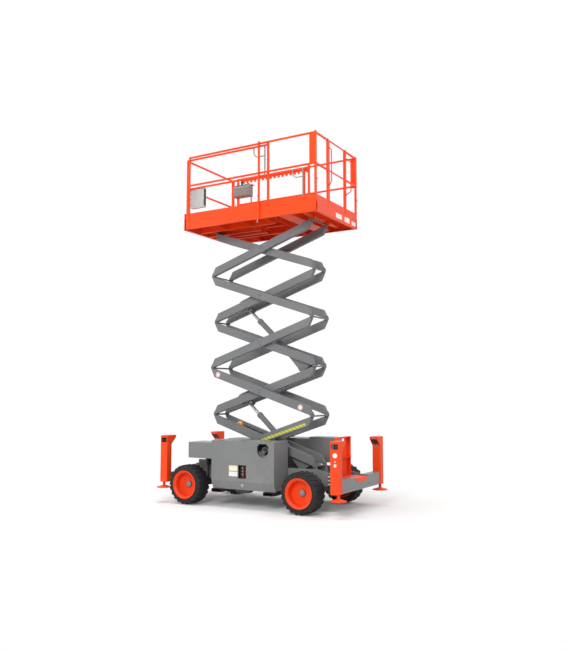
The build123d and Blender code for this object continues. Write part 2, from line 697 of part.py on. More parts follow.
def pin_lugs():
    """Pairs of cheeks under the rear cross member for the stack's fixed pins."""
    px, pz = REAR_PIN_X, TOP_PIN_Z
    top = OVER_STACK_Z - GAP
    out = []
    for s in SIDES:
        for near in (8.0, 60.0):
            yy = side(s, (OUTER[0] + near, OUTER[0] + near + 12))
            lug = slab_y([(px - 60, top), (px - BOSS_R, pz), (px + BOSS_R, pz), (px + 60, top)], yy)
            lug += rod_y(px, pz, BOSS_R, yy)
            out.append(lug - rod_y(px, pz, PIN_R + FIT, yy))
    return out


def upper_tracks():
    """Channels, open outward, for the rollers of the top frame."""
    pz = TOP_PIN_Z
    out = []
    for s in SIDES:
        for zz in ((pz + 28, pz + 36), (pz - 36, pz - 28)):
            out.append(block(TRACK_X, side(s, (86 + GAP, 129)), zz))
        out.append(block(TRACK_X, side(s, (78, 86)), (pz - 36, OVER_STACK_Z - GAP)))
    return out


def platform():
    """Deck, folded edge, deep bars beside the stack and members over it."""
    (x0, x1), y, t = DECK_X, DECK_Y, SHEET
    under = DECK_Z - t - GAP
    inner_y = y - 2 * t - GAP
    parts = [block((x0 + 2 * t + GAP, x1 - t - GAP), (-y + 2 * t + GAP, y - 2 * t - GAP), (DECK_Z - t, DECK_Z))]
    for s in SIDES:
        parts.append(slab_x([(s * (y + out), z) for out, z in edge_profile(True)], (x0, x1)))
        # strap over the front end of the toe board
        parts.append(block((x1 - 70, x1), side(s, (y + GAP, y + 4)), (EDGE_Z[0], TOE_Z)))
        rear = side(s, (GATE_POST_Y + POST_R + 3, y - LIP - GAP))
        parts.append(slab_y([(x0 - out, z) for out, z in edge_profile(True)], rear))
    low = GATE_POST_Y + POST_R + 3 - GAP
    parts.append(slab_y([(x0 - out, z) for out, z in edge_profile(False)], (-low, low)))
    parts.append(block((x1 - t, x1), (-y + LIP + GAP, y - LIP - GAP), (EDGE_Z[0], DECK_Z)))
    # bars along the deck, webs across it
    for s in SIDES:
        parts.append(block(BAR_X, side(s, BAR_Y), (EDGE_Z[0], under)))
    parts.append(block((BAR_X[0], TRACK_X[1]), (-SPINE_R, SPINE_R), SPINE_Z))
    for cx in CROSS_X:
        xx = (cx - WEB, cx)
        parts.append(block(xx, (-BAR_Y[0] + GAP, BAR_Y[0] - GAP), (OVER_STACK_Z, under)))
        for s in SIDES:
            parts.append(block(xx, side(s, (BAR_Y[1] + GAP, inner_y)), (EDGE_Z[0] + t + GAP, under)))
    parts.append(block(PAN_X, (-inner_y, inner_y), PAN_Z))
    for px in PAN_X:
        parts.append(block((px - t, px + t), (-inner_y, inner_y), (PAN_Z[1] + GAP, under)))
    parts.append(block(REAR_CROSS_X, (-inner_y, inner_y), (OVER_STACK_Z, under)))
    near = REAR_CROSS_X[0] - GAP
    far = x0 + 2 * t + GAP
    for gy in GUSSET_Y:
        outline = [(far, EDGE_Z[1]), (far + LIP, EDGE_Z[0] + 8), (near, OVER_STACK_Z), (near, under), (far, under)]
        parts.append(slab_y(outline, (gy - t, gy + t)))
    put("platform_frame", *parts, *pin_lugs(), *upper_tracks())


def rail_x(x, y, z, r):
    return block(x, (y - r, y + r), (z - r, z + r))


def rail_y(x, y, z, r):
    return block((x - r, x + r), y, (z - r, z + r))


def post(x, y, z, r):
    return block((x - r, x + r), (y - r, y + r), z)


def grab_bar(s):
    """A D-shaped bar on the outside of a gate post."""
    back, out = GRAB_REACH
    x, y = DECK_X[0] - GAP, s * GATE_POST_Y
    z0, z1 = GRAB_Z
    points = [
        (x, y, z0), (x - 25, y, z0), (x - back, y + s * out, z0 + 55),
        (x - back, y + s * out, z1 - 55), (x - 25, y, z1), (x, y, z1),
    ]
    return bent_tube(points, 18.0, GRAB_R)


def hinge_half(x, y, arm_y, z, up):
    """Half of a gate hinge: a knuckle with the tab that holds it."""
    zz = (z, z + 20) if up else (z - 20, z - 0.4)
    return rod_z(x, y, 7, zz) + block((x - 7, x + 7), arm_y, zz)


def rails():
    """Fixed guardrails on both sides and beside the gate, each tube a solid."""
    r, g = RAIL_R, GAP
    x, fx, fr = REAR_POST_X, *FRONT_POST
    top, mid = TOP_RAIL_Z, MID_RAIL_Z
    high = top + r
    parts = []
    for s in SIDES:
        parts.append(rail_x((x + POST_R + g, fx + r), s * RAIL_Y, top, r))
        parts.append(rail_x((x + POST_R + g, fx - fr - g), s * RAIL_Y, mid, r))
        parts.append(post(x, s * (DECK_Y - POST_R), (TOE_Z + g, high), POST_R))
        parts.append(post(fx, s * (DECK_Y - fr), (TOE_Z + g, top - r - g), fr))
        parts.append(post(MID_POST_X, s * (DECK_Y + 15 + g), (EDGE_Z[0] + 25, high), 15.0))
        plate_x = (DECK_X[0], CORNER_PLATE_X)
        parts.append(block(plate_x, side(s, (DECK_Y + g, DECK_Y + SHEET)), CORNER_PLATE_Z))
        py = s * GATE_POST_Y
        upright = post(x, py, (DECK_Z + g, high), POST_R)
        upright += block((DECK_X[0], DECK_X[0] + SHEET - g), (py - POST_R, py + POST_R), (EDGE_Z[1] + g, DECK_Z + 1))
        if s > 0:
            for z in HINGE_Z:
                upright += hinge_half(x, GATE_HINGE_Y, (GATE_HINGE_Y, GATE_POST_Y - POST_R + 1), z, False)
        parts.append(upright)
        for z in (top, mid):
            parts.append(rail_y(x, side(s, (GATE_POST_Y + POST_R + g, DECK_Y - 2 * POST_R - g)), z, r))
        parts.append(grab_bar(s))
    put("guardrails", *parts)
    gr = GATE_R
    gate = []
    for s in SIDES:
        leaf = post(x, s * (GATE_Y - gr), (DECK_Z + 10, high), gr)
        if s > 0:
            for z in HINGE_Z:
                leaf += hinge_half(x, GATE_HINGE_Y, (GATE_Y - 1, GATE_HINGE_Y), z, True)
        gate.append(leaf)
    span = (-GATE_Y + 2 * gr + g, GATE_Y - 2 * gr - g)
    for z in (high - gr, mid):
        gate.append(rail_y(x, span, z, gr))
    gate.append(block((x - gr, x - gr + SHEET), span, (DECK_Z + 10, TOE_Z)))
    put("gate", *gate)


def lock_rack():
    """A toothed plate under the right top rail that the extension locks on."""
    (x0, x1), (tip, root) = RACK_X, RACK_Z
    top = EXT_RAIL_Z[1] - RAIL_R - GAP
    pitch = (x1 - x0) / RACK_TEETH
    points = [(x1, top), (x0, top)]
    for n in range(RACK_TEETH):
        a = x0 + n * pitch
        points += [(a, tip), (a + pitch * 0.5, tip), (a + pitch * 0.6, root), (a + pitch * 0.9, root)]
    points.append((x1, root))
    return slab_y(points, (-EXT_RAIL_Y - 3, -EXT_RAIL_Y + 3))


def handle(s):
    """A push handle: an upright between the rails with a hooked brace."""
    (x0, x1), y, r = HANDLE_X, s * HANDLE_Y, HANDLE_R
    low, high = EXT_RAIL_Z
    rail = EXT_RAIL_Y - RAIL_R - GAP
    body = rod_z(x0, y, r, (low, high))
    hook = [(x0, y, HOOK_Z), (x1, y, HOOK_Z), (x1, y, high)]
    body += bent_tube(hook, 95.0, r - 3)
    for hx, hz in ((x0, low), (x0, high), (x1, high)):
        body += rod_y(hx, hz, r - 3, side(s, (HANDLE_Y - r + 3, rail)))
    return body


def extension():
    """The sliding front deck: a tray on the main deck with its own rails,
    which run inside and just under the fixed ones."""
    r, g = RAIL_R, GAP
    edge = EXT_RAIL_Y + r
    (zt, zt1), (nx0, nx1), (nz0, nz1) = EXT_TRAY_Z, NOSE_X, NOSE_Z
    t = SHEET
    rear = EXT_REAR_X + POST_R + g
    tray = [block((EXT_REAR_X - POST_R, nx1 - t - g), (-edge, edge), (zt, zt1))]
    for s in SIDES:
        tray.append(block((rear, nx0 - g), side(s, (edge - t, edge)), (zt1 + g, TOE_Z - 4)))
    nose = [
        (nx0, nz0), (nx1, nz0), (nx1, nz1), (nx0, nz1), (nx0, nz1 - t), (nx1 - t, nz1 - t),
        (nx1 - t, nz0 + t), (nx0, nz0 + t),
    ]
    tray.append(slab_y(nose, (-NOSE_Y, NOSE_Y)))
    put("extension_deck", *tray)
    parts = []
    (mid, top), (px, py) = EXT_RAIL_Z, EXT_FRONT_POST
    for s in SIDES:
        parts.append(block(px, side(s, py), (nz1 + g, top + r)))
        parts.append(post(EXT_REAR_X, s * (edge - POST_R), (zt1 + g, TOP_RAIL_Z + 10), POST_R))
        for z in (mid, top):
            parts.append(rail_x((rear, px[0] - g), s * EXT_RAIL_Y, z, r))
    fx = sum(px) / 2
    for z in EXT_FRONT_Z:
        parts.append(rail_y(fx, (-py[0] + g, py[0] - g), z, r))
    # straps that hold the control box
    for cx in (CONTROL_X[0] + 40, CONTROL_X[1] - 40):
        strap = (-EXT_RAIL_Y + r + g, -CONTROL_Y[1] - g)
        parts.append(block((cx - 15, cx + 15), strap, (mid - r, CONTROL_Z[1] - 20)))
    parts.append(lock_rack())
    put("extension_rails", *parts)
    put("extension_handles", *[handle(s) for s in SIDES])
    controls()


def controls():
    """The control box with its lever, and the box for the handbook."""
    (y0, y1), (z0, z1) = CONTROL_Y, CONTROL_Z
    outline = [(-y1, z0), (-y1, z1), (-y0 - 30, z1), (-y0, z1 - 46), (-y0, z0 + 24), (-y0 - 24, z0)]
    box = slab_x(outline, CONTROL_X)
    put("control_box", fillet(box.edges().filter_by(Axis.X), 6))
    sx, sy = 1055.0, -640.0
    lever = [(0, z1 + GAP), (34, z1 + GAP), (30, z1 + 12), (13, z1 + 34), (9, z1 + 40), (9, z1 + 70), (15, z1 + 78), (15, z1 + 100), (0, z1 + 104)]
    put("control_lever", turned_z(lever, sx, sy))
    manual = block(MANUAL_X, MANUAL_Y, MANUAL_Z)
    put("manual_box", fillet(manual.edges().filter_by(Axis.Y), 26))


os.makedirs("parts", exist_ok=True)
scissor()
cylinders()
wheels()
axles()
chassis()
jacks()
platform()
rails()
extension()
print("stage height", round(STAGE_H, 2), "front pin x", round(FRONT_PIN_X, 2), "top pin z", round(TOP_PIN_Z, 2))
print("tube angle", round(TUBE_ANGLE, 4), "pin line", LIFT_ANGLE, "phi", round(PHI, 4))
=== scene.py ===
import json
import math

import bmesh
import bpy
from bpy.props import FloatProperty, FloatVectorProperty, IntProperty, PointerProperty
from mathutils import Matrix, Vector


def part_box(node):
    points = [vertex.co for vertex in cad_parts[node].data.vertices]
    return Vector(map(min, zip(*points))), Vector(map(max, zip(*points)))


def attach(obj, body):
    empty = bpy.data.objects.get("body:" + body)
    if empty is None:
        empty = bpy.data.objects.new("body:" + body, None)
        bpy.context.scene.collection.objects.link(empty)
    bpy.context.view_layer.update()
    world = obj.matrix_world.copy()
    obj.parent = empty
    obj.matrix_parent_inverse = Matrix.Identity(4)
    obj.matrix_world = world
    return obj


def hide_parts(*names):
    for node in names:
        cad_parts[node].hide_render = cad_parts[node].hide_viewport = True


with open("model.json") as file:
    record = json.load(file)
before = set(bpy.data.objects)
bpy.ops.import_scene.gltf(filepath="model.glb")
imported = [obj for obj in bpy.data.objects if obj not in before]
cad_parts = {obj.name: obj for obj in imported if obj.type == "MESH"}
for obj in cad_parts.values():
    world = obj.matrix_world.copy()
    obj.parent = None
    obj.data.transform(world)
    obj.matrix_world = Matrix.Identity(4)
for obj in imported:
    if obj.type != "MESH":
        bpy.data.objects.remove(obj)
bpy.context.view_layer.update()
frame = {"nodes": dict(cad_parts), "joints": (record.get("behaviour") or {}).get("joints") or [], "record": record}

bl_info = {
    "name": "Scissor lift looks",
    "version": (1, 0, 0),
    "blender": (4, 5, 0),
    "location": "View3D > Sidebar > Scissor lift",
    "description": "Paints and details a rough terrain scissor lift on its packed frame",
    "category": "Object",
}

NODES = frame["nodes"]
RECORD = frame["record"]
BODY_OF = {node: body for body, nodes in RECORD["behaviour"]["bodies"].items() for node in nodes}
SLOTS = {part["node"]: part["material_slot"] for part in RECORD["subparts"]}
JOINTS = {joint["name"]: joint for joint in frame["joints"]}
STAGES = 5
SIDES = (1, -1)
HANDS = {1: "left", -1: "right"}
ENDS = {1: "front", -1: "rear"}
CORNERS = [(end, side, f"{ENDS[end]}_{HANDS[side]}") for end in ENDS for side in SIDES]
LEFT, RIGHT, UP = (0, 1, 0), (0, -1, 0), (0, 0, 1)
# how far a thin piece starts below its face, and how thick bare plates and tread are
SUNK, PLATE, TREAD = 0.0002, 0.0008, 0.0015
# the least bend of a cover that gets a rounded edge, in degrees
COVER_BEND = 14.0
# how bright the white surroundings are as a light
LIGHT_OF_ROOM = 0.44


def grown(tree, kind, settings, sockets):
    """Adds a node to a tree: its settings first, then a value or links for each socket."""
    made = tree.nodes.new(kind)
    for key, setting in settings.items():
        setattr(made, key, setting)
    for key, entry in sockets:
        target = made.inputs[key.replace("_", " ") if isinstance(key, str) else key]
        for value in entry if isinstance(entry, list) else [entry]:
            value = getattr(value, "socket", value)
            if isinstance(value, bpy.types.NodeSocket):
                tree.links.new(value, target)
            elif value is not None:
                target.default_value = value
    return made


# ------------------------------------------------------------------ finishes
class Value:
    """A number in a material, so that its recipe reads as a sum."""

    def __init__(self, finish, socket):
        self.finish = finish
        self.socket = socket

    def math(self, operation, *terms):
        return self.finish.node("ShaderNodeMath", {"operation": operation}, *terms)

    def __rsub__(self, other):
        return self.math("SUBTRACT", other, self)

    def rise(self, low, high):
        """0 below low, 1 above high, and smooth between."""
        settings = {"interpolation_type": "SMOOTHSTEP"}
        return self.finish.node("ShaderNodeMapRange", settings, self, low, high, 0.0, 1.0)


def math_method(operation):
    return lambda self, *terms: self.math(operation, self, *terms)


for method, operation in (
    ("__add__", "ADD"), ("__radd__", "ADD"), ("__sub__", "SUBTRACT"),
    ("__mul__", "MULTIPLY"), ("__rmul__", "MULTIPLY"), ("__truediv__", "DIVIDE"),
    ("__gt__", "GREATER_THAN"), ("__abs__", "ABSOLUTE"), ("fract", "FRACT"), ("floor", "FLOOR"),
):
    setattr(Value, method, math_method(operation))


class Finish:
    """One procedural material with a single surface shader."""

    def __init__(self, name, roughness=0.5, metallic=0.0, **fixed):
        self.material = bpy.data.materials.new(name)
        self.material.use_nodes = True
        self.tree = self.material.node_tree
        self.shader = self.tree.nodes["Principled BSDF"]
        for socket, value in dict(Roughness=roughness, Metallic=metallic, **fixed).items():
            self.shader.inputs[socket.replace("_", " ")].default_value = value
        self.place = self.node("ShaderNodeTexCoord", {}, output="Object")

    def node(self, kind, settings, *values, output=0, **named):
        """A node with its inputs by position or by name."""
        made = grown(self.tree, kind, settings, [*enumerate(values), *named.items()])
        return Value(self, made.outputs[output])

    def xyz(self):
        split = self.node("ShaderNodeSeparateXYZ", {}, self.place)
        return [Value(self, socket) for socket in split.socket.node.outputs]

    def stretched(self, x, y, z):
        """The place, scaled along each axis."""
        return self.node("ShaderNodeMapping", {}, self.place, Scale=(x, y, z))

    def noise(self, scale, detail=2.0, rough=0.5, at=None):
        return self.node(
            "ShaderNodeTexNoise", {}, Vector=at or self.place, Scale=scale, Detail=detail, Roughness=rough
        )

    def cells(self, scale, feature="F1"):
        return self.node("ShaderNodeTexVoronoi", {"feature": feature}, Vector=self.place, Scale=scale)

    def mix(self, factor, first, second):
        """One colour over another. Colours are (r, g, b) or an earlier mix."""
        ends = [colour if isinstance(colour, Value) else (*colour, 1.0) for colour in (first, second)]
        sockets = [(0, factor), (6, ends[0]), (7, ends[1])]
        return Value(self, grown(self.tree, "ShaderNodeMix", {"data_type": "RGBA"}, sockets).outputs[2])

    def feed(self, socket, value):
        self.tree.links.new(value.socket, self.shader.inputs[socket])

    def relief(self, height, strength, distance):
        bump = self.node("ShaderNodeBump", {}, Strength=strength, Distance=distance, Height=height)
        self.feed("Normal", bump)


def shade(colour, factor):
    return tuple(min(1.0, channel * factor) for channel in colour)


def paint(name, colour, roughness=0.38, dust=0.25, gloss=0.4):
    """Sprayed machine paint: faint clouding, orange peel, thin dust low down."""
    finish = Finish(name, roughness, Specular_IOR_Level=gloss)
    cloud = finish.noise(2.2, 4.0)
    base = finish.mix(cloud.rise(0.3, 0.7), shade(colour, 0.94), shade(colour, 1.05))
    streak = finish.noise(3.0, 3.0, at=finish.stretched(6.0, 6.0, 0.5)).rise(0.55, 0.85) * 0.10
    base = finish.mix(streak, base, shade(colour, 0.72))
    height = finish.xyz()[2]
    low = (1.0 - height.rise(0.1, 1.2)) * finish.noise(9.0, 6.0, 0.65).rise(0.35, 0.75) * dust
    base = finish.mix(low, base, (0.36, 0.33, 0.29))
    finish.feed("Base Color", base)
    finish.feed("Roughness", roughness + 0.10 * cloud + 0.35 * low)
    peel = finish.noise(420.0, 1.0)
    finish.relief(peel + 0.8 * finish.noise(38.0, 2.0), 0.05, 0.0006)
    return finish.material


def rubber(name, colour):
    """Tyre rubber with dried dust in its low places."""
    finish = Finish(name, 0.78, Specular_IOR_Level=0.3)
    dusty = finish.noise(14.0, 6.0, 0.6).rise(0.42, 0.8) * 0.16
    grain = finish.noise(160.0, 3.0)
    finish.feed("Base Color", finish.mix(dusty, colour, (0.10, 0.092, 0.082)))
    finish.feed("Roughness", 0.70 + 0.18 * grain)
    finish.relief(grain, 0.35, 0.0008)
    return finish.material


def chrome(name, colour):
    """A ground and plated rod, with an oily film."""
    finish = Finish(name, 0.22, 1.0)
    film = finish.noise(9.0, 3.0)
    finish.feed("Base Color", finish.mix(film.rise(0.3, 0.8), colour, shade(colour, 0.93)))
    finish.feed("Roughness", 0.20 + 0.08 * film)
    return finish.material


def steel(name, colour, roughness=0.42):
    """Zinc plated or bare steel, a little mottled."""
    finish = Finish(name, roughness, 1.0)
    mottle = finish.noise(60.0, 4.0, 0.6)
    finish.feed("Base Color", finish.mix(mottle.rise(0.3, 0.75), shade(colour, 0.8), colour))
    finish.feed("Roughness", roughness - 0.08 + 0.2 * mottle)
    finish.relief(mottle, 0.1, 0.0004)
    return finish.material


def plastic(name, colour, roughness=0.55):
    """Moulded plastic with a fine spark-eroded grain."""
    finish = Finish(name, roughness)
    grain = finish.cells(900.0)
    tone = finish.noise(5.0, 3.0)
    finish.feed("Base Color", finish.mix(tone.rise(0.3, 0.7), shade(colour, 0.93), shade(colour, 1.05)))
    finish.feed("Roughness", roughness + 0.08 * tone)
    finish.relief(grain, 0.15, 0.0003)
    return finish.material


def tread_plate(name, colour):
    """Painted deck plate with raised bars that lie two ways."""
    finish = Finish(name, 0.45)
    x, y, _ = finish.xyz()
    pitch = 0.034 * 1.41421
    across = (x + y) / pitch
    along = (x - y) / pitch
    odd = ((across.floor() + along.floor()) * 0.5).fract() > 0.25
    u = across.fract() - 0.5
    v = along.fract() - 0.5
    one = 1.0 - (u * u * 60.0 + v * v * 5.2)
    two = 1.0 - (u * u * 5.2 + v * v * 60.0)
    bars = (odd * one + (1.0 - odd) * two).rise(0.0, 0.7)
    worn = bars * finish.noise(8.0, 4.0).rise(0.4, 0.7)
    finish.feed("Base Color", finish.mix(worn * 0.35, colour, (0.35, 0.30, 0.28)))
    finish.feed("Roughness", 0.42 + 0.15 * finish.noise(30.0))
    finish.relief(bars, 0.6, 0.002)
    return finish.material


def lens(name, colour):
    """The beacon's ribbed, tinted lens."""
    finish = Finish(name, 0.18, Coat_Weight=0.5)
    _, _, z = finish.xyz()
    ribs = abs((z * 160.0).fract() - 0.5)
    glow = finish.noise(40.0, 2.0)
    finish.feed("Base Color", finish.mix(glow, shade(colour, 0.8), colour))
    finish.feed("Emission Color", finish.mix(glow, shade(colour, 0.5), shade(colour, 0.7)))
    finish.shader.inputs["Emission Strength"].default_value = 0.25
    finish.relief(ribs, 0.4, 0.001)
    return finish.material


def tape(name, colour):
    """Bright tape: slanting bars over a honeycomb."""
    finish = Finish(name, 0.35, Coat_Weight=0.3)
    comb = finish.cells(260.0, "DISTANCE_TO_EDGE").rise(0.02, 0.10)
    x, _, z = finish.xyz()
    bars = ((z * 1.3 - x * 0.55) * 15.0).fract() > 0.70
    base = finish.mix(comb, shade(colour, 0.8), colour)
    finish.feed("Base Color", finish.mix(bars, base, shade(colour, 0.45)))
    finish.feed("Roughness", 0.30 + 0.1 * comb)
    return finish.material


def tint(name, description, default):
    return FloatVectorProperty(
        name=name, description=description, subtype="COLOR", size=3, min=0.0, max=1.0, default=default
    )


def length(name, description, default, low, high):
    return FloatProperty(
        name=name, description=description, unit="LENGTH", default=default, min=low, max=high
    )


class LiftPaints(bpy.types.PropertyGroup):
    """Colours that a user would change."""

    orange: tint("Orange", "Platform, rims, ladder and jacks", (0.880, 0.061, 0.006))
    arms: tint("Arm grey", "The folding stack", (0.180, 0.183, 0.188))
    body: tint("Body grey", "Frame, modules and covers", (0.186, 0.190, 0.192))
    # black also serves as painted shade in recesses, such as inside the vent pipe's mouth
    black: tint("Black", "Axles, pockets and recesses", (0.018, 0.018, 0.020))
    tyre: tint("Tyre", "Tyre rubber", (0.017, 0.017, 0.018))
    stripe: tint("Stripe", "Tape on the left lowest outer arm", (0.62, 0.64, 0.05))
    beacon: tint("Beacon", "Beacon lens", (1.0, 0.33, 0.02))


class LiftSizes(bpy.types.PropertyGroup):
    """Sizes that a user would change."""

    edge: length("Plate edge", "Rounding on plate and tube edges", 0.004, 0.0005, 0.02)
    lugs: IntProperty(
        name="Tread lugs", description="Lugs on each shoulder of a tyre", default=22, min=8, max=60
    )
    lug_height: length("Lug height", "Tread depth of a tyre", 0.010, 0.004, 0.05)
    bolt: length("Bolt head", "Radius of an M12 head", 0.010, 0.004, 0.03)


# name: maker, material, colour (or the panel's name for it), the maker's other settings
RECIPES = {
    "orange": (paint, "orange_paint", "orange", 0.38, 0.08, 0.22),
    "arms": (paint, "arm_paint", "arms", 0.50, 0.10, 0.2),
    "body": (paint, "body_paint", "body", 0.30, 0.18, 0.5),
    "black": (paint, "black_paint", "black", 0.50, 0.05),
    "pipe grey": (paint, "pipe_paint", (0.12, 0.12, 0.125), 0.5, 0.0),
    "handle": (paint, "handle_paint", (0.29, 0.28, 0.27), 0.4, 0.0),
    "tyre": (rubber, "tyre_rubber", "tyre"),
    "hose": (rubber, "hose_rubber", (0.022, 0.022, 0.024)),
    "chrome": (chrome, "rod_chrome", (0.46, 0.47, 0.48)),
    "steel": (steel, "plated_steel", (0.50, 0.50, 0.52)),
    "dull steel": (steel, "dull_steel", (0.30, 0.30, 0.31), 0.5),
    "latch": (steel, "latch_steel", (0.62, 0.62, 0.63), 0.5),
    "grey plastic": (plastic, "grey_plastic", (0.20, 0.19, 0.185)),
    "pale plastic": (plastic, "pale_plastic", (0.44, 0.455, 0.43)),
    "black plastic": (plastic, "black_plastic", (0.02, 0.02, 0.022)),
    "red plastic": (plastic, "red_plastic", (0.40, 0.025, 0.025)),
    "dark red": (plastic, "dark_red", (0.17, 0.04, 0.04)),
    "pink": (plastic, "faded_ring", (0.62, 0.36, 0.34), 0.4),
    "shaded": (plastic, "shaded_inside", (0.085, 0.010, 0.006), 0.7),
    "green": (plastic, "plate_band_green", (0.20, 0.42, 0.22), 0.4),
    "amber band": (plastic, "plate_band_amber", (0.80, 0.42, 0.10), 0.4),
    "panel": (plastic, "panel_film", (0.12, 0.12, 0.125), 0.35),
    "label": (plastic, "bare_plate", (0.78, 0.78, 0.76), 0.4),
    "pale yellow": (plastic, "bare_plate_top", (0.76, 0.76, 0.56), 0.4),
    "deck": (tread_plate, "deck_tread", "orange"),
    "lens": (lens, "amber_lens", "beacon"),
    "tape": (tape, "bright_tape", "stripe"),
}
FINISHES = {}


def finish_named(name):
    """Makes each finish once, from the table and the colours in the panel."""
    if name not in FINISHES:
        make, material, colour, *settings = RECIPES[name]
        if isinstance(colour, str):
            colour = tuple(getattr(bpy.context.scene.lift_paints, colour))
        FINISHES[name] = make(material, colour, *settings)
    return FINISHES[name]


# --------------------------------------------------------------- mesh making
def placed(name, data):
    """A new object in the scene, at the origin."""
    thing = bpy.data.objects.new(name, data)
    bpy.context.scene.collection.objects.link(thing)
    return thing


def freed(name, bm):
    """Mesh work as a mesh."""
    mesh = bpy.data.meshes.new(name)
    bm.to_mesh(mesh)
    bm.free()
    return mesh


def baked(holder):
    """An object's evaluated form as a plain mesh."""
    bpy.context.view_layer.update()
    return bpy.data.meshes.new_from_object(holder.evaluated_get(bpy.context.evaluated_depsgraph_get()))


def seated(thing, body, slot):
    """An object that rides on a body; its slot is not used."""
    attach(thing, body)
    return thing


def piece(name, bm, finish, body, slot=None):
    """Turns mesh work into one finished object that rides on a body."""
    bmesh.ops.recalc_face_normals(bm, faces=bm.faces)
    thing = placed(name, freed(name, bm))
    thing.data.materials.append(finish_named(finish))
    return seated(thing, body, slot)


def smooth(thing, degrees=35.0):
    """Smooth shading between faces that meet at a small angle."""
    thing.data.shade_smooth()
    thing.data.set_sharp_from_angle(angle=math.radians(degrees))
    return thing


def islands(bm):
    """The vertices of each loose solid."""
    seen = set()
    for start in bm.verts:
        if start in seen:
            continue
        seen.add(start)
        group = [start]
        for vert in group:
            for edge in vert.link_edges:
                other = edge.other_vert(vert)
                if other not in seen:
                    seen.add(other)
                    group.append(other)
        yield group


def round_edges(bm, width, degrees=35.0):
    """Rounds the sharp edges of each loose solid, by less where it is thin."""
    bm.edges.index_update()
    limit = math.radians(degrees)
    jobs = []
    for group in islands(bm):
        edges = sorted({edge for vert in group for edge in vert.link_edges}, key=lambda edge: edge.index)
        sharp = [edge for edge in edges if edge.is_manifold and edge.calc_face_angle() > limit]
        spans = [max(vert.co[n] for vert in group) - min(vert.co[n] for vert in group) for n in range(3)]
        jobs.append((sharp, min(width, 0.3 * min(spans))))
    for sharp, reach in jobs:
        bmesh.ops.bevel(
            bm, geom=sharp, offset=reach, offset_type="OFFSET", segments=2, profile=0.5, affect="EDGES",
            clamp_overlap=True,
        )


def evened(thing):
    """Smooth shading that keeps flat faces flat beside rounded edges."""
    thing.data.shade_smooth()
    even = thing.modifiers.new("even", "WEIGHTED_NORMAL")
    even.mode = "FACE_AREA"
    even.weight = 90
    return thing


def add_box(bm, x, y, z):
    """A box from three (low, high) pairs."""
    size = Matrix.Diagonal((x[1] - x[0], y[1] - y[0], z[1] - z[0], 1.0))
    centre = Matrix.Translation(((x[0] + x[1]) / 2, (y[0] + y[1]) / 2, (z[0] + z[1]) / 2))
    bmesh.ops.create_cube(bm, size=1.0, matrix=centre @ size)


def add_prism(bm, outline, low, high, turn):
    """An outline of (x, y) points, drawn out along z from low to high, then placed by a matrix."""
    rings = [[bm.verts.new(turn @ Vector((x, y, z))) for x, y in outline] for z in (low, high)]
    bm.faces.new(list(reversed(rings[0])))
    bm.faces.new(rings[1])
    for n in range(len(outline)):
        after = (n + 1) % len(outline)
        bm.faces.new((rings[0][n], rings[0][after], rings[1][after], rings[1][n]))


def bridge(bm, rings):
    """Faces between rings of vertices. A ring of one vertex is a pole."""
    for one, two in zip(rings, rings[1:]):
        count = max(len(one), len(two))
        for n in range(count):
            after = (n + 1) % count
            corners = [one[n % len(one)], one[after % len(one)], two[after % len(two)], two[n % len(two)]]
            unique = list(dict.fromkeys(corners))
            if len(unique) > 2:
                bm.faces.new(unique)


def add_lathe(bm, profile, turn, segments=48):
    """Turns (radius, z) points about z, then places the form by a matrix."""
    rings = []
    for radius, z in profile:
        if radius < 1e-6:
            rings.append([bm.verts.new(turn @ Vector((0, 0, z)))])
            continue
        ring = []
        for n in range(segments):
            angle = 2 * math.pi * n / segments
            x, y = radius * math.cos(angle), radius * math.sin(angle)
            ring.append(bm.verts.new(turn @ Vector((x, y, z))))
        rings.append(ring)
    bridge(bm, rings)


def facing(direction, place):
    """A matrix that stands local z along a direction at a place."""
    turn = Vector(direction).to_track_quat("Z", "Y").to_matrix().to_4x4()
    return Matrix.Translation(place) @ turn


def pipe(name, runs, radius, finish, body, slot=None, sides=5):
    """Bent tubes along lists of points, as one mesh."""
    curve = bpy.data.curves.new(name, "CURVE")
    curve.dimensions = "3D"
    curve.bevel_depth = radius
    curve.bevel_resolution = sides
    curve.use_fill_caps = True
    for points in runs:
        spline = curve.splines.new("NURBS")
        spline.points.add(len(points) - 1)
        for point, place in zip(spline.points, points):
            point.co = (*place, 1.0)
        spline.order_u = 3
        spline.use_endpoint_u = True
        spline.resolution_u = 8
    holder = placed(name, curve)
    mesh = baked(holder)
    bpy.data.objects.remove(holder)
    mesh.materials.clear()
    mesh.materials.append(finish_named(finish))
    mesh.shade_smooth()
    return seated(placed(name, mesh), body, slot)


def softened(node, finish, width, degrees=35.0):
    """A CAD node again, its edges rounded. It stands for the node."""
    bm = bmesh.new()
    bm.from_mesh(NODES[node].data)
    bmesh.ops.remove_doubles(bm, verts=bm.verts, dist=2e-5)
    bmesh.ops.dissolve_limit(bm, angle_limit=math.radians(1.0), verts=bm.verts, edges=bm.edges)
    round_edges(bm, width, degrees)
    thing = evened(piece(f"{node}_shell", bm, finish, BODY_OF[node], SLOTS[node]))
    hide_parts(node)
    return thing


def shelled(rows, sizes):
    """Shells round CAD nodes. Rows: finish, edge in plate edges, nodes."""
    for finish, edge, nodes in rows:
        for node in nodes.split():
            softened(node, finish, sizes.edge * edge)


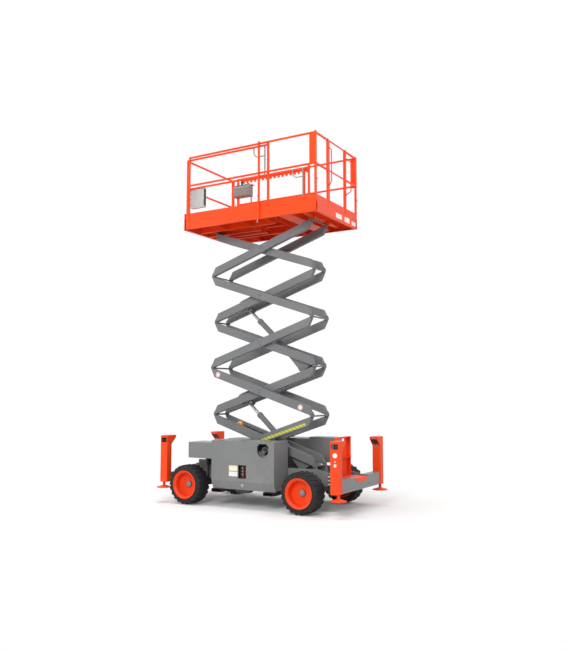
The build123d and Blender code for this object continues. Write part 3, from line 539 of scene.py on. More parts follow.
def solid(name, finish, body, boxes=(), turned=(), drawn=(), place=None, edge=0.0, slot=None):
    """One piece from boxes, turned (profile, matrix) and drawn (outline, low, high, matrix) forms."""
    bm = bmesh.new()
    for x, y, z in boxes:
        add_box(bm, x, y, z)
    for profile, turn in turned:
        add_lathe(bm, profile, turn, 32)
    for outline, low, high, turn in drawn:
        add_prism(bm, outline, low, high, turn)
    if place:
        bmesh.ops.transform(bm, matrix=place, verts=bm.verts)
    bmesh.ops.recalc_face_normals(bm, faces=bm.faces)
    if edge:
        round_edges(bm, edge)
        return evened(piece(name, bm, finish, body, slot))
    return smooth(piece(name, bm, finish, body, slot))


def both(low, high, side):
    """A (low, high) pair on the left or in front, side = 1, or on the right or behind, side = -1."""
    return tuple(sorted((side * low, side * high)))


def row(profile, direction, places):
    """The same turned form at several places."""
    return [(profile, facing(direction, place)) for place in places]


def arc(radius, steps):
    """Points on a circle, at steps of 15 degrees."""
    return [(radius * math.cos(n * math.pi / 12), radius * math.sin(n * math.pi / 12)) for n in steps]


def plug_height(node):
    """From the top of a node's posts to 10 mm over them."""
    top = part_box(node)[1].z
    return top, top + 0.010


# ----------------------------------------------------- repeats by tree nodes
class Tree:
    """A small geometry tree with named inputs."""

    def __init__(self, name):
        self.group = bpy.data.node_groups.new(name, "GeometryNodeTree")
        self.group.interface.new_socket("Geometry", in_out="INPUT", socket_type="NodeSocketGeometry")
        self.group.interface.new_socket("Geometry", in_out="OUTPUT", socket_type="NodeSocketGeometry")
        self.start = self.group.nodes.new("NodeGroupInput")
        self.end = self.group.nodes.new("NodeGroupOutput")
        self.inputs = []

    def input(self, name, kind, value):
        socket = self.group.interface.new_socket(name, in_out="INPUT", socket_type=f"NodeSocket{kind}")
        self.inputs.append((socket.identifier, value))
        return self.start.outputs[name]

    def node(self, kind, *values, settings=None, **named):
        sockets = [*enumerate(values), *named.items()]
        return grown(self.group, kind, settings or {}, sockets).outputs[0]

    def close(self, geometry, material):
        solid = self.node("GeometryNodeRealizeInstances", Geometry=geometry)
        painted = self.node("GeometryNodeSetMaterial", Geometry=solid, Material=material)
        self.group.links.new(painted, self.end.inputs[0])

    def bake(self, name, source, body, slot=None):
        """Runs the tree on a mesh and keeps the result as one plain mesh."""
        holder = placed(name, source)
        modifier = holder.modifiers.new("tree", "NODES")
        modifier.node_group = self.group
        for identifier, value in self.inputs:
            modifier[identifier] = value
        result = baked(holder)
        holder.modifiers.clear()
        holder.data = result
        return seated(holder, body, slot)


def points_mesh(name, places):
    """Loose points, each with the direction it faces."""
    mesh = bpy.data.meshes.new(name)
    mesh.from_pydata([place for place, _ in places], [], [])
    layer = mesh.attributes.new("facing", "FLOAT_VECTOR", "POINT")
    for n, (_, direction) in enumerate(places):
        layer.data[n].vector = direction
    return mesh


def bolts(name, body, places, radius, finish="steel"):
    """Hexagon heads on washers at (place, direction) pairs."""
    tree = Tree(name)
    size = tree.input("Head radius", "Float", radius)
    vector = {"data_type": "FLOAT_VECTOR"}
    out = tree.node("GeometryNodeInputNamedAttribute", settings=vector, Name="facing")
    turn = tree.node("FunctionNodeAlignRotationToVector", settings={"axis": "Z"}, Vector=out)
    parts = []
    for sides, wide, tall, lift in ((6, 1.0, 1.15, 0.75), (20, 1.5, 0.3, 0.1)):
        reach = tree.node("ShaderNodeMath", size, wide, settings={"operation": "MULTIPLY"})
        form = tree.node("GeometryNodeMeshCylinder", Vertices=sides, Radius=reach, Depth=radius * tall)
        shift = (0.0, 0.0, radius * lift)
        parts.append(tree.node("GeometryNodeTransform", Geometry=form, Translation=shift))
    head = tree.node("GeometryNodeJoinGeometry", Geometry=parts)
    places_in = tree.start.outputs[0]
    repeated = tree.node("GeometryNodeInstanceOnPoints", Points=places_in, Instance=head, Rotation=turn)
    tree.close(repeated, finish_named(finish))
    return tree.bake(name, points_mesh(name, places), body)


# -------------------------------------------------------------- measurements
BASE_PIN = Vector(JOINTS["lift"]["pos_m"])
MIDDLE = Vector(JOINTS["pivot_1"]["pos_m"])
STAGE_RISE = 2 * (MIDDLE.z - BASE_PIN.z)
FRONT_PIN_X = 2 * MIDDLE.x - BASE_PIN.x
PIN_SPAN = math.hypot(FRONT_PIN_X - BASE_PIN.x, STAGE_RISE)
TUBE_RISE = 0.140
TUBE_TILT = math.asin(STAGE_RISE / PIN_SPAN) - math.asin(TUBE_RISE / PIN_SPAN)
SPAN = math.sqrt(PIN_SPAN**2 - TUBE_RISE**2)
OUTER_FACE = 0.307
INNER_FACE = 0.212
TYRE_RADIUS = (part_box("rear_left_tyre")[1].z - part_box("rear_left_tyre")[0].z) / 2
DECK_LOW, DECK_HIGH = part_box("platform_frame")
DECK_TOP = 4.925
TRAY_TOP = 4.937
MID_POST_X = -0.241
COVER_FACE = 0.800


def arm_frame(stage, outer):
    """Local x along a tube from its low pin, y across the machine, z over the tube."""
    rear_low = (stage % 2 == 0) == outer
    z = BASE_PIN.z + (stage - 1) * STAGE_RISE
    if rear_low:
        return Matrix.Translation((BASE_PIN.x, 0, z)) @ Matrix.Rotation(-TUBE_TILT, 4, "Y")
    flip = Matrix.Rotation(math.pi, 4, "Z")
    return Matrix.Translation((FRONT_PIN_X, 0, z)) @ Matrix.Rotation(TUBE_TILT, 4, "Y") @ flip


# ----------------------------------------------------------------- operators
class LIFT_OT_arms(bpy.types.Operator):
    """The ten folding frames with their pins, keepers and tape"""

    bl_idname = "lift.arms"
    bl_label = "Folding arms"
    bl_options = {"REGISTER", "UNDO"}

    def execute(self, context):
        sizes = context.scene.lift_sizes
        for stage in range(1, STAGES + 1):
            for outer in (True, False):
                kind = "outer" if outer else "inner"
                softened(f"{kind}_arms_{stage}", "arms", sizes.edge)
                self.keepers(stage, outer, kind, sizes)
        self.marks()
        return {"FINISHED"}

    def keepers(self, stage, outer, kind, sizes):
        """Round caps over the pins, each held by a bolt, and caps on the middle pivot."""
        face = OUTER_FACE if outer else INNER_FACE
        place = arm_frame(stage, outer)
        # columns: u, v, radius, depth in the tube's wall, bolts, their distance from the middle.
        # The pin at a tube's foot is the one at the head of the tube below it.
        spots = [(SPAN, TUBE_RISE, 0.020, 0.004, 1, 0.0)]
        if stage == 1:
            spots.append((0.0, 0.0, 0.020, 0.004, 1, 0.0))
        if outer:
            spots.append((SPAN / 2, TUBE_RISE / 2, 0.036, 0.003, 3, 0.022))
        caps = []
        heads = []
        for side in SIDES:
            for u, v, radius, depth, count, reach in spots:
                root = face - depth
                profile = [(0, 0), (radius, 0), (radius, 0.006), (radius - 0.002, 0.008), (0, 0.008)]
                caps.append((profile, facing((0, side, 0), (u, side * root, v))))
                for k in range(count):
                    angle = 2 * math.pi * k / count + 0.5
                    across, up = reach * math.cos(angle), reach * math.sin(angle)
                    spot = Vector((u + across, side * (root + 0.008), v + up))
                    heads.append((place @ spot, place.to_3x3() @ Vector((0, side, 0))))
        body = f"{kind}_frame_{stage}"
        solid(f"{kind}_pin_caps_{stage}", "arms", body, turned=caps, place=place)
        bolts(f"{kind}_pin_bolts_{stage}", body, heads, sizes.bolt * 0.7, "arms")

    def marks(self):
        """Tape along the left lowest outer tube, and the bare discs of the left side."""
        lowest, second = arm_frame(1, True), arm_frame(2, True)
        strip = ((1.0, 2.0), both(OUTER_FACE - SUNK, OUTER_FACE + 0.001, -1), (0.026, 0.070))
        solid("arm_tape", "tape", "outer_frame_1", boxes=[strip], place=lowest)
        disc = [(0, 0), (0.033, 0), (0.033, 0.001), (0, 0.0012)]
        ring = [(0.0332, 0), (0.050, 0), (0.050, 0.001), (0.0332, 0.001), (0.0332, 0)]
        spots = [(u, OUTER_FACE, 0.068) for u in (0.235, SPAN - 0.165)]
        for name, finish, profile in (("arm_discs", "label", disc), ("arm_disc_rings", "pink", ring)):
            solid(name, finish, "outer_frame_2", turned=row(profile, LEFT, spots), place=second)
        turn = facing(LEFT, (1.731, -0.227, 0.045))
        oval = [(x, y / 2) for x, y in arc(0.034, range(24))]
        solid("arm_oval", "label", "outer_frame_1", drawn=[(oval, 0, 0.001, turn)], place=lowest)


class LIFT_OT_cylinders(bpy.types.Operator):
    """The two lift cylinders: barrels, glands, ports and rods"""

    bl_idname = "lift.cylinders"
    bl_label = "Lift cylinders"
    bl_options = {"REGISTER", "UNDO"}

    def execute(self, context):
        sizes = context.scene.lift_sizes
        for name in ("lower", "upper"):
            softened(f"{name}_cylinder_barrel", "arms", sizes.edge * 0.5)
            softened(f"{name}_cylinder_rod", "chrome", sizes.edge * 0.5)
            self.fittings(name, sizes)
        return {"FINISHED"}

    def fittings(self, name, sizes):
        """A valve block over the barrel's foot, with its port and bleed screw."""
        pin = Vector(JOINTS[f"{name}_barrel_swing"]["pos_m"])
        along, _, up = Vector(JOINTS[f"{name}_rod_slide"]["axis"])
        turn = Matrix.Translation(pin) @ Matrix.Rotation(-math.atan2(up, along), 4, "Y")
        body = BODY_OF[f"{name}_cylinder_barrel"]
        block = ((0.07, 0.16), (-0.026, 0.026), (0.030, 0.078))
        solid(f"{name}_valve_block", "arms", body, boxes=[block], place=turn, edge=sizes.edge)
        port = [(0, 0), (0.014, 0), (0.014, 0.012), (0.010, 0.014), (0.010, 0.030), (0, 0.030)]
        stubs = row(port, LEFT, [(0.115, 0.025, 0.056)]) + row(port, RIGHT, [(0.095, -0.025, 0.056)])
        solid(f"{name}_ports", "steel", body, turned=stubs, place=turn)


class LIFT_OT_hoses(bpy.types.Operator):
    """The clipped hoses and the beacon on the lowest inner frame"""

    bl_idname = "lift.hoses"
    bl_label = "Hoses and beacon"
    bl_options = {"REGISTER", "UNDO"}

    def execute(self, context):
        place = arm_frame(1, False)
        wall, line, start, end, bend = -0.1318, -0.119, 0.700, 1.690, 0.05
        route = [(start, wall), (start, line), (start + bend, line)]
        route += [(end - bend, line), (end, line), (end, wall)]
        runs = [[tuple(place @ Vector((u, y, v))) for u, y in route] for v in (0.040, 0.060, 0.080)]
        hoses = pipe("arm_hoses", runs, 0.008, "hose", "inner_frame_1", "hose_rubber")
        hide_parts("hoses")
        across, over = (-0.132, -0.1095), (0.028, 0.092)
        clips = [((u - 0.012, u + 0.012), across, over) for u in (0.80, 1.05, 1.32, 1.58)]
        solid("hose_clips", "black plastic", "inner_frame_1", boxes=clips, place=place, edge=0.003)
        self.beacon(place)
        return {"FINISHED"}

    def beacon(self, place):
        """A low amber dome with ribs, on a black foot."""
        turn = facing(LEFT, (1.785, -0.1318, 0.075))
        foot = [(0, 0), (0.060, 0), (0.060, 0.006), (0.057, 0.008), (0, 0.008)]
        solid("beacon_foot", "black plastic", "inner_frame_1", turned=[(foot, turn)], place=place)
        dome = [(0, 0.008)]
        for n in range(12):
            angle = math.pi / 2 * n / 12
            ripple = 0.0012 * (n % 2)
            dome.append(((0.0575 + ripple) * math.cos(angle) ** 0.5, 0.008 + 0.046 * math.sin(angle)))
        dome.append((0, 0.054))
        lamp = solid(
            "beacon_dome", "lens", "inner_frame_1", turned=[(dome, turn)], place=place, slot="amber_lens"
        )
        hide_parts("lamp")


class LIFT_OT_chassis(bpy.types.Operator):
    """Frame, tracks, axles, beams, step and ladder"""

    bl_idname = "lift.chassis"
    bl_label = "Chassis"
    bl_options = {"REGISTER", "UNDO"}
    shells = (
        ("body", 1.0, "main_frame slide_tracks front_beam rear_step"),
        ("black", 1.0, "front_axle rear_axle axle_locks fork_pockets"),
        ("black", 1.0, "left_steering_knuckle right_steering_knuckle"),
        ("orange", 1.0, "ladder"),
        ("deck", 1.0, "step_tread"),
    )

    def execute(self, context):
        sizes = context.scene.lift_sizes
        shelled(self.shells, sizes)
        self.ladder_bolts(sizes)
        self.manifold(sizes)
        return {"FINISHED"}

    def ladder_bolts(self, sizes):
        """Bolts that hold the ladder to its frame."""
        low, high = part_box("ladder")
        levels = (low.z + 0.06, (low.z + high.z) / 2, high.z - 0.06)
        heads = [
            ((high.x - 0.045, side * (high.y + SUNK), z), (0, side, 0)) for side in SIDES for z in levels
        ]
        bolts("ladder_bolts", "chassis", heads, sizes.bolt)

    def manifold(self, sizes):
        """The outrigger valves, on the frame behind the rear left wheel."""
        block = [
            ((-1.490, -1.385), (0.3592, 0.560), (0.430, 0.615)),
            ((-1.455, -1.400), (0.3592, 0.585), (0.285, 0.418)),
        ]
        solid("valve_block", "black", "chassis", boxes=block, edge=sizes.edge)
        coil = [(0, 0), (0.018, 0), (0.018, 0.034), (0.011, 0.036), (0.011, 0.046), (0, 0.047)]
        spots = [(x, 0.5598, z) for x in (-1.455, -1.415) for z in (0.465, 0.522, 0.580)]
        solid("valve_coils", "steel", "chassis", turned=row(coil, LEFT, spots))
        knob = [(0, 0), (0.010, 0), (0.010, 0.006), (0.014, 0.008), (0.014, 0.014), (0, 0.015)]
        spots = [(x, 0.530, 0.6148) for x in (-1.465, -1.437, -1.410)]
        solid("valve_caps", "pale yellow", "chassis", turned=row(knob, UP, spots))


class LIFT_OT_modules(bpy.types.Operator):
    """Side modules, their covers, the tank and the front boxes"""

    bl_idname = "lift.modules"
    bl_label = "Modules and covers"
    bl_options = {"REGISTER", "UNDO"}

    def execute(self, context):
        sizes = context.scene.lift_sizes
        for side in SIDES:
            softened(f"{HANDS[side]}_module", "body", sizes.edge, COVER_BEND)
            softened(f"{HANDS[side]}_cover", "body", sizes.edge * 1.5, COVER_BEND)
        for node in ("tank", "front_boxes"):
            softened(node, "body", sizes.edge * 1.5)
        softened("engine", "black", sizes.edge)
        softened("ground_controls", "black plastic", sizes.edge)
        self.plates()
        self.latches()
        self.vent()
        self.switches()
        return {"FINISHED"}

    def plates(self):
        """The bare two-tone plate beside the ground controls."""
        x, face = (0.142, 0.309), (COVER_FACE - SUNK, COVER_FACE + PLATE)
        bands = (
            ("top", "amber band", 0.684, 0.695), ("upper", "pale yellow", 0.605, 0.6838),
            ("line", "green", 0.592, 0.6048), ("foot", "label", 0.519, 0.5918),
        )
        for name, finish, low, high in bands:
            solid(f"cover_plate_{name}", finish, "left_cover", boxes=[(x, face, (low, high))])

    def latches(self):
        """A paddle latch on the slope at the foot of each cover."""
        rose = [(0, 0), (0.026, 0), (0.026, 0.004), (0.022, 0.006), (0, 0.006)]
        grip = ((-0.007, 0.007), (-0.030, 0.018), (0.006, 0.013))
        for side in SIDES:
            turn = facing((0, side * 0.925, -0.380), (0.058, side * 0.7765, 0.380))
            hand, cover = HANDS[side], f"{HANDS[side]}_cover"
            solid(f"{hand}_latch_rose", "latch", cover, turned=[(rose, turn)])
            solid(f"{hand}_latch", "latch", cover, boxes=[grip], place=turn, edge=0.003)

    def vent(self):
        """A black box behind the round opening as painted shade of the module's inside, and the bent pipe in it
        with a black disc of painted shade in its mouth.
        """
        x, y, z = (-0.470, -0.215), (0.640, 0.766), (0.815, 1.060)
        half = 0.002
        plates = [(x, (y[0], y[0] + 2 * half), z)]
        plates += [((end - half, end + half), y, z) for end in x]
        plates += [(x, y, (end - half, end + half)) for end in z]
        # black plates as painted shade of the module's inside behind the opening
        solid("vent_box", "black plastic", "chassis", boxes=plates)
        bend = [(-0.262, 0.700, 0.840), (-0.290, 0.712, 0.880), (-0.318, 0.722, 0.915)]
        bend.append((-0.338, 0.728, 0.955))
        pipe("vent_pipe", [bend], 0.044, "pipe grey", "chassis", sides=8)
        turn = facing((-0.50, 0.75, 0.45), (-0.340, 0.729, 0.958))
        mouth = [(0, 0.001), (0.036, -0.002), (0.036, 0.009), (0.048, 0.009), (0.048, -0.006), (0, -0.006)]
        solid("vent_mouth", "pipe grey", "chassis", turned=[(mouth, turn)])
        # a black disc inside the pipe's mouth: painted shade
        dark = [(0, 0.0015), (0.0355, 0.0015), (0.0355, 0.003), (0, 0.003)]
        solid("vent_mouth_inside", "black", "chassis", turned=[(dark, turn)])
        turn = Matrix(((1, 0, 0, -0.340), (0, 0, 1, 0), (0, 1, 0, 0.945), (0, 0, 0, 1)))
        outer = [(x, -y) for x, y in arc(0.112, range(1, 12))]
        inner = [(x, 0.020 - y) for x, y in arc(0.096, range(1, 12))]
        solid("vent_lip", "body", "chassis", drawn=[(outer + inner[::-1], 0.690, 0.752, turn)])

    def switches(self):
        """Ground controls in the cover's window: a stop button, a key, levers and a guard."""
        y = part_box("ground_controls")[1].y
        button = [
            (0, 0), (0.009, 0), (0.009, 0.012), (0.019, 0.014), (0.019, 0.020), (0.014, 0.025), (0, 0.026),
        ]
        knob = [(0, 0), (0.008, 0), (0.008, 0.010), (0.011, 0.012), (0.011, 0.030), (0, 0.032)]
        nut = [(0, 0), (0.013, 0), (0.013, 0.004), (0.010, 0.006), (0, 0.006)]
        reds = row(button, LEFT, [(0.060, y, 0.520)])
        reds += row(knob, LEFT, [(0.058, y, z) for z in (0.572, 0.642)])
        solid("ground_buttons", "red plastic", "chassis", turned=reds)
        spots = [(x, y, z) for x in (0.095, 0.020) for z in (0.550, 0.600, 0.655)]
        solid("ground_nuts", "steel", "chassis", turned=row(nut, LEFT, spots))
        z = (0.495, 0.690)
        guard = [((0.036, 0.041), (y, y + 0.040), z), ((0.041, 0.078), (y, y + 0.0015), z)]
        solid("ground_guard", "dark red", "chassis", boxes=guard, edge=0.001)


class LIFT_OT_wheels(bpy.types.Operator):
    """Tyres with tread lugs, rims, wheel nuts and hubs"""

    bl_idname = "lift.wheels"
    bl_label = "Wheels"
    bl_options = {"REGISTER", "UNDO"}

    def execute(self, context):
        sizes = context.scene.lift_sizes
        for end, side, corner in CORNERS:
            low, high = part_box(f"{corner}_tyre")
            centre = (low + high) / 2
            self.tyre(corner, side, centre, sizes)
            self.rim(corner, side, centre, sizes)
        return {"FINISHED"}

    def tyre(self, name, side, centre, sizes):
        """A bulged carcass, and lugs that wrap over both shoulders."""
        base = TYRE_RADIUS - sizes.lug_height
        half = [
            (0.216, 0.122), (0.226, 0.136), (0.234, 0.1405), (0.246, 0.1415), (0.248, 0.1455),
            (0.256, 0.1465), (0.260, 0.143), (0.274, 0.142), (base - 0.018, 0.136), (base - 0.008, 0.122),
            (base - 0.002, 0.098), (base, 0.05), (base, 0.0),
        ]
        profile = half + [(radius, -w) for radius, w in reversed(half[:-1])] + [half[0]]
        bm = bmesh.new()
        add_lathe(bm, profile, facing((0, side, 0), centre), 72)
        bmesh.ops.remove_doubles(bm, verts=bm.verts, dist=1e-6)
        body = BODY_OF[f"{name}_tyre"]
        carcass = smooth(piece(f"{name}_carcass", bm, "tyre", body, "tyre"), 40)
        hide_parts(f"{name}_tyre")
        self.tread(name, centre, body, sizes)

    def lugs(self, name, sizes):
        """One lug on each shoulder, as a mesh round the origin."""
        top = TYRE_RADIUS
        root = top - sizes.lug_height - 0.006
        # columns: degrees round, half width in degrees, outer (across, radius), inner (across, radius)
        stations = [
            (-1.0, 2.3, (-0.016, top - 0.001), (-0.016, root)),
            (2.2, 2.7, (0.045, top), (0.045, root)),
            (5.6, 3.2, (0.105, top - 0.002), (0.105, root - 0.002)),
            (7.4, 3.6, (0.1330, top - 0.008), (0.116, root - 0.010)),
            (8.0, 3.5, (0.1425, top - 0.022), (0.126, root - 0.014)),
            (8.2, 3.0, (0.1425, top - 0.038), (0.132, root - 0.030)),
        ]
        bm = bmesh.new()
        for side in SIDES:
            rings = []
            for at, half, outer, inner in stations:
                at += 0.0 if side > 0 else 360.0 / sizes.lugs / 2
                ring = []
                for lean, (across, radius) in ((-1.18, inner), (-1, outer), (1, outer), (1.18, inner)):
                    angle = math.radians(at + lean * half)
                    x, z = radius * math.sin(angle), radius * math.cos(angle)
                    ring.append(bm.verts.new((x, side * across, z)))
                rings.append(ring)
            bridge(bm, rings)
            bm.faces.new(rings[0])
            bm.faces.new(rings[-1])
        bmesh.ops.recalc_face_normals(bm, faces=bm.faces)
        return freed(f"{name}_lug", bm)

    def tread(self, name, centre, body, sizes):
        """The pair of lugs, repeated round the wheel by a tree."""
        tree = Tree(f"{name}_tread")
        count = tree.input("Lugs", "Int", sizes.lugs)
        place = tree.input("Wheel centre", "Vector", tuple(centre))
        line = tree.node("GeometryNodeMeshLine", Count=count, Offset=(0.0, 0.0, 0.0))
        index = tree.node("GeometryNodeInputIndex")
        pitch = 2 * math.pi / sizes.lugs
        share = tree.node("ShaderNodeMath", index, pitch, settings={"operation": "MULTIPLY"})
        turn = tree.node("ShaderNodeCombineXYZ", Y=share)
        pair = tree.start.outputs[0]
        ring = tree.node("GeometryNodeInstanceOnPoints", Points=line, Instance=pair, Rotation=turn)
        wheel = tree.node("GeometryNodeTransform", Geometry=ring, Translation=place)
        tree.close(wheel, finish_named("tyre"))
        tree.bake(f"{name}_lugs", self.lugs(name, sizes), body, "tyre")

    def rim(self, name, side, centre, sizes):
        """The rim with its edges rounded, a ring of wheel nuts and a dull hub."""
        softened(f"{name}_rim", "orange", sizes.edge * 0.75)
        body = BODY_OF[f"{name}_rim"]
        web, count = side * 0.716, 9
        nuts = []
        for n in range(count):
            angle = 2 * math.pi * n / count
            spot = Vector((centre.x + 0.078 * math.cos(angle), web, centre.z + 0.078 * math.sin(angle)))
            nuts.append((spot, (0, side, 0)))
        bolts(f"{name}_wheel_nuts", body, nuts, sizes.bolt * 0.9, "orange")
        bm = bmesh.new()
        hub = [
            (0.0, 0.0), (0.050, 0.0), (0.050, 0.030), (0.045, 0.036), (0.030, 0.038), (0.027, 0.046),
            (0.012, 0.050), (0.0, 0.050),
        ]
        add_lathe(bm, hub, facing((0, side, 0), (centre.x, web, centre.z)), 36)
        smooth(piece(f"{name}_hub_cap", bm, "dull steel", body))


class LIFT_OT_jacks(bpy.types.Operator):
    """Outriggers: housings, windows, legs and feet"""

    bl_idname = "lift.jacks"
    bl_label = "Outriggers"
    bl_options = {"REGISTER", "UNDO"}
    shells = (("orange", 1.5, "jack_housings"),)

    def execute(self, context):
        sizes = context.scene.lift_sizes
        shelled(self.shells, sizes)
        for end, side, corner in CORNERS:
            softened(f"{corner}_jack_leg", "orange", sizes.edge)
            self.head(end, side, f"{corner}_jack", sizes)
        self.marks()
        return {"FINISHED"}

    def head(self, end, side, name, sizes):
        """A black ram head in the window, its black also painted shade of the hollow housing; beside it a strip,
        grey at the rear jacks and painted shade at the front; and a panel of painted shade on the open slope of
        the inner side.
        """
        x0, x1 = both(1.586, 1.699, end)
        # the head's black is partly painted shade for the dark inside of the housing
        head = ((x0, x1), both(0.745, 0.812, side), (1.005, 1.120))
        solid(f"{name}_head", "black plastic", "chassis", boxes=[head], edge=sizes.edge)
        # at the front jacks this strip is painted shade: the maroon of the housing's shaded inner wall
        valve = ((x1 - 0.030, x1 - 0.001), both(0.812, 0.835, side), (1.020, 1.104))
        solid(f"{name}_valve", "pipe grey" if end < 0 else "shaded", "chassis", boxes=[valve], edge=0.002)
        slope = Vector((0.0, side * (0.730 - 0.612), 0.990 - 1.100))
        along = slope.normalized()
        out = along.cross(Vector((side, 0, 0))).normalized()
        turn = Matrix((
            (1, 0, 0, 0), (0, along.y, out.y, side * 0.612), (0, along.z, out.z, 1.100), (0, 0, 0, 1)
        ))
        # a maroon sheet on the inner slope: painted shade for the shaded inside of the opening
        panel = ((x0, x1), (0.008, slope.length * 0.72), (0.0, 0.002))
        solid(f"{name}_opening", "shaded", "chassis", boxes=[panel], place=turn)
        if side < 0:
            outline = [
                (0.607, 1.120), (0.604, 1.108), (0.718, 1.000), (0.722, 0.940),
                (0.728, 0.940), (0.727, 1.006), (0.616, 1.112),
            ]
            lever = [(side * y, z) for y, z in outline]
            x = end * 1.640
            turn = Matrix(((0, 0, 1, 0), (1, 0, 0, 0), (0, 1, 0, 0), (0, 0, 0, 1)))
            drawn = [(lever, x - 0.020, x + 0.020, turn)]
            solid(f"{name}_lever", "dull steel", "chassis", drawn=drawn, edge=0.0015)

    def marks(self):
        """The bare disc and two bare plates on the outer face of the rear left housing."""
        y = 0.850
        disc = [(0, 0), (0.037, 0), (0.037, 0.0008), (0, 0.001)]
        solid("jack_disc", "label", "chassis", turned=row(disc, LEFT, [(-1.650, y, 0.932)]))
        face = (y, y + PLATE)
        small = [((-1.660, -1.642), face, (0.832, 0.850)), ((-1.672, -1.632), face, (0.760, 0.802))]
        solid("jack_plates", "label", "chassis", boxes=small)


class LIFT_OT_platform(bpy.types.Operator):
    """Deck, toe boards, guardrails, gate and the sliding extension"""

    bl_idname = "lift.platform"
    bl_label = "Platform"
    bl_options = {"REGISTER", "UNDO"}
    shells = (
        ("orange", 0.75, "platform_frame guardrails gate extension_deck extension_rails"),
        ("handle", 0.75, "extension_handles"),
    )

    def execute(self, context):
        sizes = context.scene.lift_sizes
        shelled(self.shells, sizes)
        deck = ((DECK_LOW.x + 0.012, DECK_HIGH.x - 0.007), (-0.757, 0.757), (DECK_TOP, DECK_TOP + TREAD))
        solid("deck_tread", "deck", "platform", boxes=[deck])
        tray = ((-0.355, 1.280), (-0.665, 0.665), (TRAY_TOP, TRAY_TOP + TREAD))
        solid("tray_tread", "deck", "extension", boxes=[tray])
        self.closers()
        self.caps()
        self.pins()
        self.plates()
        return {"FINISHED"}

    def closers(self):
        """Plates that close the toe board at the rear corners, and the flap under the gate's board."""
        corners = [((-1.3045, -1.300), both(0.7242, 0.7642, side), (4.9256, 5.0215)) for side in SIDES]
        solid("corner_closers", "orange", "platform", boxes=corners)
        flap = ((-1.3025, -1.2985), (-0.2697, 0.2697), (4.9276, 4.9365))
        solid("gate_flap", "orange", "gate", boxes=[flap])

    def caps(self):
        """Black plugs in the open tops of the posts."""
        posts = [(-1.293, side * y) for side in SIDES for y in (0.753, 0.330)]
        posts += [(MID_POST_X, side * 0.7852) for side in SIDES]
        z = plug_height("guardrails")
        plugs = [((x - 0.0155, x + 0.0155), (y - 0.0155, y + 0.0155), z) for x, y in posts]
        solid("post_plugs", "black plastic", "platform", boxes=plugs, edge=0.002)
        z = plug_height("extension_rails")
        rear = [((-0.394, -0.362), both(0.695, 0.727, side), z) for side in SIDES]
        solid("extension_plugs", "black plastic", "extension", boxes=rear, edge=0.002)

    def pins(self):
        """Quick-release pins through the folding posts, each with its ring."""
        pin = [(0, 0), (0.011, 0), (0.013, 0.004), (0.013, 0.012), (0.009, 0.016), (0, 0.017)]
        spots = [((-1.3102, side * y, 5.265), (-1, 0, 0)) for y in (0.753, 0.330) for side in SIDES]
        spots += [((MID_POST_X, side * 0.8002, 5.114), (0, side, 0)) for side in SIDES]
        pins = [(pin, facing(out, spot)) for spot, out in spots]
        solid("fold_pins", "red plastic", "platform", turned=pins)
        rings = []
        for spot, out in spots:
            centre = Vector(spot) + Vector(out) * 0.010 - Vector((0, 0, 0.018))
            across = Vector((0, 1, 0)) if abs(out[0]) else Vector((1, 0, 0))
            loop = arc(0.015, range(6, 31, 2))
            rings.append([tuple(centre + across * side + Vector((0, 0, up))) for side, up in loop])
        pipe("fold_rings", rings, 0.0018, "steel", "platform", sides=2)

    def plates(self):
        """Bare plates on the rear edge, and the small bracket under the left edge."""
        x = (DECK_LOW.x - PLATE, DECK_LOW.x + SUNK)
        bare = [
            (x, (-0.160, 0.068), (4.782, 4.864)), (x, (-0.456, -0.266), (4.780, 4.866)),
            (x, (-0.700, -0.549), (4.778, 4.845)),
        ]
        solid("rear_plates", "label", "platform", boxes=bare)
        x = (-0.206, -0.186)
        hook = [(x, (0.752, 0.757), (4.684, 4.7452)), (x, (0.738, 0.7525), (4.684, 4.690))]
        solid("edge_bracket", "dull steel", "platform", boxes=hook)


